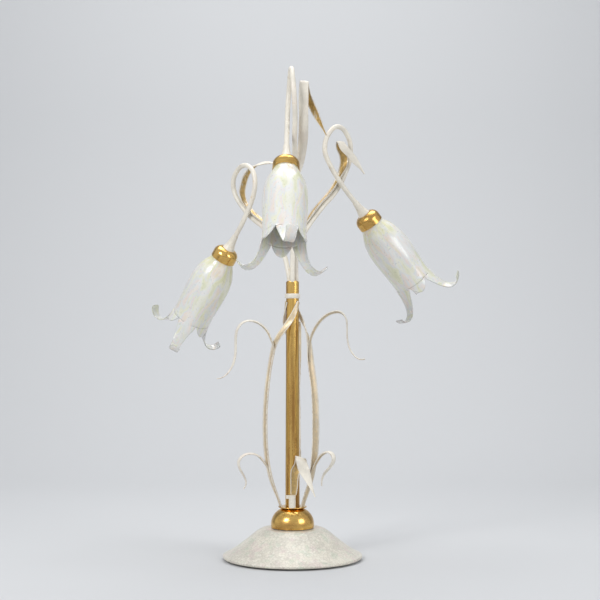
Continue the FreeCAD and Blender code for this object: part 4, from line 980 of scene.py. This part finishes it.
def shade_mesh(name, wall, tip_wall, habits, petal_cols=12, lobe_cols=12):
    """Blown tulip with three long hooked petals and a ragged lobe between each two."""
    bm = bmesh.new()
    inner, blown = [bm.verts.layers.float_vector.new(key) for key in ("inner", "blown")]
    along, rim = [bm.verts.layers.float.new(key) for key in ("along", "rim")]
    rows, notch_row = shade_rows(wall, tip_wall)
    notch_r = rows[notch_row][0]
    petal_half = edge_at(PETAL_EDGE, NOTCH)
    petal_angle = math.asin(petal_half / notch_r)
    lobe_half = notch_r * math.sin(math.pi / 3 - petal_angle)
    tip = rows[-1][4]
    lift = noise.noise(Vector((len(name), 1, 2)))

    def placed(radius, angle, depth):
        return radius * MM * math.cos(angle), radius * MM * math.sin(angle), -depth * MM

    def vertex(r, u, ri, ui, angle, length, clear, twist=0.0, droop=0.0):
        a = angle + twist
        spot = Vector((r * math.cos(a), r * math.sin(a), u)) * 0.045 + Vector((lift, 0, 0))
        wave = GLASS_WAVE * noise.noise(spot) * clamped((u - 20) / 20)
        v = bm.verts.new(placed(r + wave, a, u + droop))
        v[inner] = placed(ri + wave, a, ui + droop)
        v[blown] = placed(r, angle, length)
        v[along], v[rim] = length * MM, clear
        return v

    def quads(grid):
        for a, b in zip(grid, grid[1:]):
            for j in range(len(a) - 1):
                bm.faces.new([a[j], a[j + 1], b[j + 1], b[j]])

    def petal_clear(w, half, length):
        return clamped(min((1 - abs(w)) * half, tip - length) / CLEAR_EDGE)

    petal_places = [2 * j / petal_cols - 1 for j in range(petal_cols + 1)]
    lobe_places = [math.sin(math.pi / 2 * (2 * j / lobe_cols - 1)) for j in range(lobe_cols + 1)]
    for k, (reach, droop_tip, lean) in enumerate(habits):
        centre = 2 * math.pi * k / 3
        middle = centre + math.pi / 3
        body_p, body_l = [], []
        for r, u, ri, ui, length in rows[:notch_row + 1]:
            far = clamped((NOTCH - u) / 8)
            body_p.append([vertex(r, u, ri, ui, centre + math.asin(w * petal_half / notch_r), length,
                                  max(far, petal_clear(w, petal_half, length))) for w in petal_places])
            body_l.append([vertex(r, u, ri, ui, middle + math.asin(w * lobe_half / notch_r), length,
                                  max(far, clamped((lobe_end(w * lobe_half) - NOTCH) / CLEAR_EDGE)))
                           for w in lobe_places])
        quads(body_p)
        quads(body_l)
        petal = []
        for r, u, ri, ui, length in rows[notch_row:]:
            half = edge_at(PETAL_EDGE, u)
            left = tip - length
            if left < TIP_ROUND:
                short = (TIP_ROUND - left) / TIP_ROUND
                half -= TIP_ROUND * (1 - math.sqrt(max(0.0, 1 - short ** 2)))
            f = (length - rows[notch_row][4]) / (tip - rows[notch_row][4])
            pull = 1 + (reach - 1) * f ** 2
            petal.append([vertex(r * pull, u, ri * pull, ui, centre + math.asin(w * half / r), length,
                                 petal_clear(w, half, length), math.radians(lean) * f ** 2,
                                 droop_tip * f ** 2) for w in petal_places])
        quads(petal)
        lobe = []
        for step in range(LOBE_ROWS + 1):
            line = []
            for w in lobe_places:
                y = w * lobe_half
                end = max(NOTCH, lobe_end(y)) if abs(w) < 0.999 else NOTCH
                u = NOTCH + (end - NOTCH) * step / LOBE_ROWS
                r, u_, ri, ui, length = row_at(rows, u)
                line.append(vertex(r, u_, ri, ui, middle + math.asin(y / r), length,
                                   clamped((end - u) / CLEAR_EDGE)))
            lobe.append(line)
        quads(lobe)
    bmesh.ops.remove_doubles(bm, verts=bm.verts, dist=2e-5)
    bmesh.ops.recalc_face_normals(bm, faces=bm.faces)
    lined = {}
    for v in list(bm.verts):
        n = bm.verts.new(v[inner])
        n[blown], n[along], n[rim] = v[blown], v[along], v[rim]
        lined[v] = n
    border = [e for e in bm.edges if len(e.link_faces) == 1]
    for face in list(bm.faces):
        bm.faces.new([lined[v] for v in reversed(face.verts)])
    for e in border:
        a, b = e.verts
        bm.faces.new([a, b, lined[b], lined[a]])
    bmesh.ops.recalc_face_normals(bm, faces=bm.faces)
    mesh = bpy.data.meshes.new(name)
    bm.to_mesh(mesh)
    bm.free()
    mesh.attributes.remove(mesh.attributes["inner"])
    mesh.shade_smooth()
    source = linked(name + "_source", mesh)
    smooth = source.modifiers.new("Smooth", "SUBSURF")
    smooth.levels = smooth.render_levels = 1
    made = flattened(source, name)
    made.shade_smooth()
    return made


def row_at(rows, u):
    """Row of the profile at a distance along the axis, on the part above the hooks."""
    down = [row for row in rows if row[4] < HOOK_START]
    us = [row[1] for row in down]
    return [float(np.interp(u, us, [row[k] for row in down])) for k in range(5)]


def moved(mesh, matrix):
    mesh.transform(matrix)
    return mesh


# ---------------------------------------------------------------- operators
def for_arms(kind):
    return [kind + side for side in ARMS]


def turned(name, profile, segments, finish, slot, body, solid, place=Matrix()):
    """Adds a turned piece that stands for one solid."""
    new_piece(name, lathe(name, profile, segments, place), finish, slot, body, solid)


def settings(context):
    return context.scene.lamp_sizes, context.scene.lamp_colours


class LAMP_OT_foot(bpy.types.Operator):
    """Pressed glass foot, brass dome and ring, and finishes for the pieces under them"""
    bl_idname = "lamp.foot"
    bl_label = "Foot"

    def execute(self, context):
        sizes, colours = settings(context)
        n = sizes.segments
        gold, milky = brass("dome_brass", colours, 0.45), pressed_glass("foot_glass_milky", colours)
        turned("foot", foot_profile(), 2 * n, milky, "pressed_glass", "lamp", "foot_glass")
        turned("dome", dome_profile(), n, gold, "brass", "lamp", "brass_dome")
        turned("dome_ring", ring_profile(), n, gold, "brass", "lamp", "foot_ring")
        felt = plain("felt_green", (0.06, 0.10, 0.06), (0.03, 0.05, 0.03), 900, 0.95, 0.0, 0.0006)
        iron = plain("iron_grey", (0.20, 0.20, 0.20), (0.11, 0.11, 0.12), 180, 0.55, 0.9)
        rubber = plain("rubber_black", (0.03, 0.03, 0.03), (0.015, 0.015, 0.015), 300, 0.7)
        steel = plain("zinc_steel", (0.62, 0.62, 0.60), (0.42, 0.42, 0.42), 260, 0.34, 1.0)
        white = plain("terminal_white", (0.74, 0.74, 0.70), (0.62, 0.61, 0.57), 120, 0.45)
        soft = plain("soft_clear", (0.70, 0.70, 0.66), (0.58, 0.58, 0.54), 150, 0.4, 0.0, 0.0002,
                     Transmission_Weight=0.5)
        dress(felt, "felt_pad")
        dress(iron, "foot_weight")
        dress(rubber, "lead_grommet")
        dress(steel, "foot_pillar", "foot_nut", "foot_washer", "centre_rod", *for_arms("arm_nipple_"))
        dress(white, "terminal_block")
        dress(soft, "dome_gasket", *for_arms("neck_washer_"))
        return {"FINISHED"}


class LAMP_OT_stem(bpy.types.Operator):
    """Tapered brass stem, its collar and its plug"""
    bl_idname = "lamp.stem"
    bl_label = "Stem"

    def execute(self, context):
        sizes, colours = settings(context)
        gold = brass("stem_brass", colours, 0.75, True)
        ivory = tube_enamel("collar_enamel", colours)
        turned("stem", stem_profile(), sizes.segments, gold, "brass", "lamp", "stem_tube")
        turned("collar", collar_profile(), sizes.segments, ivory, "ivory_enamel", "lamp", "stem_collar")
        dress(gold, "stem_plug")
        return {"FINISHED"}


class LAMP_OT_leaves(bpy.types.Operator):
    """Cage leaves, the curls that grow from them, and the front leaf with its sleeve"""
    bl_idname = "lamp.leaves"
    bl_label = "Leaves"

    def execute(self, context):
        sizes, colours = settings(context)
        tree = gutter_tree()
        coat = enamel("leaf_enamel", colours, 0.55)
        thick, thin, relief = sizes.leaf_thickness, sizes.tendril_thickness, sizes.relief
        for i, (side, azimuth) in enumerate(CAGE_AZIMUTHS.items()):
            route, lift = LOWER_TENDRILS[side]
            upper = tendril_strip(UPPER_TENDRIL, UPPER_LEAVE, *UPPER_TENDRILS[side], UPPER_ROOT)
            lower = tendril_strip(route, LOWER_LEAVE, 0.0, lift, 0.0, LOWER_ROOT)
            fine = relief * TENDRIL_RELIEF
            for kind, solid, strip, sheet, depth, seed in (
                    ("cage_", "cage_leaf_", cage_leaf_strip(), thick, relief, i),
                    ("curl_high_", "upper_tendril_", upper, thin, fine, 5 + i),
                    ("curl_low_", "lower_tendril_", lower, thin, fine, 9 + i)):
                mesh = strip_mesh(kind + side, tree, coat, *strip, azimuth, sheet, depth, seed)
                new_piece(kind + side, mesh, coat, "ivory_enamel", "lamp", solid + side)
        gilt = enamel("front_leaf_enamel", colours, 0.9)
        front = strip_mesh("leaf_foot", tree, gilt, *front_leaf_strip(), 0.0, thick, relief, 13)
        new_piece("leaf_foot", front, gilt, "ivory_enamel", "lamp", "front_leaf")
        dress(tube_enamel("sleeve_enamel", colours), "front_leaf_sleeve")
        return {"FINISHED"}


class LAMP_OT_arms(bpy.types.Operator):
    """Three looped arms and the gutter leaves that ride on them"""
    bl_idname = "lamp.arms"
    bl_label = "Arms"

    def execute(self, context):
        sizes, colours = settings(context)
        gutter, bar = gutter_tree(), bar_tree()
        coat, tube = enamel("arm_leaf_enamel", colours, 0.95), tube_enamel("arm_enamel", colours)
        for i, (side, arm) in enumerate(ARMS.items()):
            turn = Matrix.Rotation(math.radians(arm["azimuth"]), 3, "Z")
            line = [turn @ p for p in arm_line(side)[0]]
            mesh = baked("arm_" + side, line_mesh("arm_" + side, line), bar, tube,
                         {"Radius": sizes.arm_radius, "Relief": 0.0002, "Seed": float(i)})
            new_piece("arm_" + side, mesh, tube, "ivory_enamel", "lamp", "arm_tube_" + side)
            strip = arm_leaf_strip(side, sizes.arm_radius / MM)
            mesh = strip_mesh("leaf_" + side, gutter, coat, *strip, arm["azimuth"],
                              sizes.leaf_thickness, sizes.relief, 20 + i)
            new_piece("leaf_" + side, mesh, coat, "ivory_enamel", "lamp", "arm_leaf_" + side)
        return {"FINISHED"}


class LAMP_OT_heads(bpy.types.Operator):
    """Ferrule, brass cup, threaded lampholder and ring at the end of each arm"""
    bl_idname = "lamp.heads"
    bl_label = "Heads"

    def execute(self, context):
        sizes, colours = settings(context)
        coat, gold = tube_enamel("ferrule_enamel", colours), brass("cup_brass", colours, 0.4)
        black = plain("holder_black", (0.035, 0.034, 0.033), (0.02, 0.02, 0.02), 260, 0.45)
        bar, n = bar_tree(), sizes.segments
        turns = [2 * math.pi * i / THREAD_STEPS for i in range(THREAD_STEPS * THREAD_TURNS + 1)]
        coil = [Vector((THREAD_RADIUS * math.cos(a), THREAD_RADIUS * math.sin(a),
                        THREAD_LOW + THREAD_PITCH * a / (2 * math.pi))) for a in turns]
        wire = {"Radius": 0.0002, "Relief": 0.0, "Seed": 0.0, "Section Points": 6}
        for side in ARMS:
            place = head_matrix(side)
            turned("ferrule_sleeve_" + side, ferrule_profile(), n, coat, "ivory_enamel", "lamp",
                   "ferrule_" + side, place)
            turned("cup_" + side, cup_profile(), n, gold, "brass", "lamp", "brass_cup_" + side, place)
            thread = baked("thread", line_mesh("thread", coil), bar, black, wire)
            new_piece("thread_" + side, moved(thread, place), black, "black_plastic", "lamp")
            dress(black, "lampholder_" + side, "shade_ring_" + side)
        return {"FINISHED"}


class LAMP_OT_bulbs(bpy.types.Operator):
    """Frosted capsule bulbs on their ceramic bases"""
    bl_idname = "lamp.bulbs"
    bl_label = "Bulbs"

    def execute(self, context):
        frosted = plain("bulb_frosted", (0.90, 0.90, 0.88), (0.80, 0.80, 0.78), 500, 0.45, 0.0, 0.0001,
                        Transmission_Weight=0.35)
        ceramic = plain("bulb_ceramic_white", (0.76, 0.75, 0.70), (0.64, 0.63, 0.58), 240, 0.5)
        dress(ceramic, *for_arms("bulb_base_"))
        for side in ARMS:
            turned("capsule_" + side, bulb_profile(), 48, frosted, "bulb_glass", "bulb_" + side,
                   "bulb_glass_" + side, head_matrix(side))
        return {"FINISHED"}


class LAMP_OT_shades(bpy.types.Operator):
    """Blown tulip shades"""
    bl_idname = "lamp.shades"
    bl_label = "Shades"

    def execute(self, context):
        sizes, colours = settings(context)
        glass = tulip_glass("tulip_glass_milky", colours)
        for side in ARMS:
            mesh = shade_mesh("tulip_" + side, sizes.shade_wall / MM, sizes.petal_wall / MM,
                              PETAL_HABITS[side])
            new_piece("tulip_" + side, moved(mesh, head_matrix(side, SHADE_SPIN[side])), glass,
                      "tulip_glass", "shade_" + side, "shade_" + side)
        return {"FINISHED"}


def area_lamp(name, place, target, watts, size):
    light = bpy.data.lights.new(name, "AREA")
    light.energy, light.size = watts, size
    obj = linked(name, light)
    obj.location = place
    obj.rotation_euler = (Vector(target) - Vector(place)).to_track_quat("-Z", "Y").to_euler()


# the photo's camera and the sweep round the lamp, in metres
EYE, LENS_SHIFT = (0.01075, -2.0, 0.345), 0.03
SENSOR, FOCAL_PIXELS, PHOTO_PIXELS = 36.0, 1394.7, 600
SWEEP_SIDE, SWEEP_FRONT, SWEEP_BACK, SWEEP_ROUND, SWEEP_TOP = 4.0, -3.2, 0.9, 0.9, 3.4
FLOOR = -0.0004         # the felt just clears the floor


class LAMP_OT_stage(bpy.types.Operator):
    """Pale sweep, soft studio light and the camera"""
    bl_idname = "lamp.stage"
    bl_label = "Stage"

    def execute(self, context):
        _, colours = settings(context)
        scene = context.scene
        section = [(SWEEP_FRONT, FLOOR), (SWEEP_BACK, FLOOR)]
        section += [(SWEEP_BACK + SWEEP_ROUND * math.sin(a), FLOOR + SWEEP_ROUND
                     - SWEEP_ROUND * math.cos(a)) for a in np.linspace(0.05, math.pi / 2, 16)]
        section.append((SWEEP_BACK + SWEEP_ROUND, SWEEP_TOP))
        verts = [(x, y, z) for x in (-SWEEP_SIDE, SWEEP_SIDE) for y, z in section]
        n = len(section)
        faces = [(i, n + i, n + i + 1, i + 1) for i in range(n - 1)]
        mesh = bpy.data.meshes.new("sweep")
        mesh.from_pydata(verts, [], faces)
        mesh.shade_smooth()
        f = Finish("sweep_paper")
        grain = f.noise(240, 2.0, 0.5)
        tone = f.mix(grain * 0.04, tuple(colours.backdrop), (0.7, 0.7, 0.7))
        mesh.materials.append(f.done(f.shader(Base_Color=tone, Roughness=0.9)))
        sweep = linked("sweep", mesh)
        area_lamp("key", (-1.1, -1.4, 1.3), (0, 0, 0.35), 19, 0.7)
        area_lamp("fill", (1.5, -1.1, 0.9), (0, 0, 0.35), 11, 0.9)
        area_lamp("top", (0.1, 0.3, 1.9), (0, 0, 0.3), 11, 1.2)
        area_lamp("backdrop_light", (0.0, 0.6, 1.9), (0, 1.7, 0.6), 12, 1.4)
        world = bpy.data.worlds.new("studio")
        scene.world = world
        world.use_nodes = True
        g = Graph(world.node_tree)
        g.tree.nodes.clear()
        path = g.raw("ShaderNodeLightPath")
        seen = [Socket(g, path.outputs[name])
                for name in ("Is Camera Ray", "Is Glossy Ray", "Is Transmission Ray")]
        shown = seen[0].at_least(seen[1]).at_least(seen[2])
        soft = g.add("ShaderNodeBackground", None, {"Color": (0.93, 0.95, 1.0, 1.0), "Strength": 0.42})
        pale = g.add("ShaderNodeBackground", None, {"Color": (0.70, 0.72, 0.75, 1.0), "Strength": 1.0})
        light = g.add("ShaderNodeMixShader", None, {0: shown, 1: soft, 2: pale})
        g.link(light, g.raw("ShaderNodeOutputWorld").inputs["Surface"])
        lens = bpy.data.cameras.new("camera")
        lens.sensor_width = SENSOR
        lens.lens = FOCAL_PIXELS / PHOTO_PIXELS * SENSOR
        lens.shift_y = LENS_SHIFT
        camera = linked("camera", lens)
        camera.location = EYE
        camera.rotation_euler = (math.pi / 2, 0, 0)
        scene.camera = camera
        scene.view_settings.view_transform = "Standard"
        return {"FINISHED"}


OPERATORS = (LAMP_OT_foot, LAMP_OT_stem, LAMP_OT_leaves, LAMP_OT_arms, LAMP_OT_heads, LAMP_OT_bulbs,
             LAMP_OT_shades, LAMP_OT_stage)


class LAMP_PT_panel(bpy.types.Panel):
    """Builds the lamp piece by piece"""
    bl_idname = "LAMP_PT_panel"
    bl_label = "Tulip table lamp"
    bl_space_type = "VIEW_3D"
    bl_region_type = "UI"
    bl_category = "Lamp"

    def draw(self, context):
        for group in settings(context):
            column = self.layout.column()
            for key in group.__annotations__:
                column.prop(group, key)
        for operator in OPERATORS:
            self.layout.operator(operator.bl_idname)


CLASSES = (LampSizes, LampColours, *OPERATORS, LAMP_PT_panel)


def register():
    for cls in CLASSES:
        bpy.utils.register_class(cls)
    bpy.types.Scene.lamp_sizes = PointerProperty(type=LampSizes)
    bpy.types.Scene.lamp_colours = PointerProperty(type=LampColours)


def unregister():
    del bpy.types.Scene.lamp_sizes
    del bpy.types.Scene.lamp_colours
    for cls in reversed(CLASSES):
        bpy.utils.unregister_class(cls)


def main():
    register()
    for operator in OPERATORS:
        area, name = operator.bl_idname.split(".")
        if getattr(getattr(bpy.ops, area), name)() != {"FINISHED"}:
            raise RuntimeError(operator.bl_idname + " did not finish")


if __name__ == "__main__":
    main()
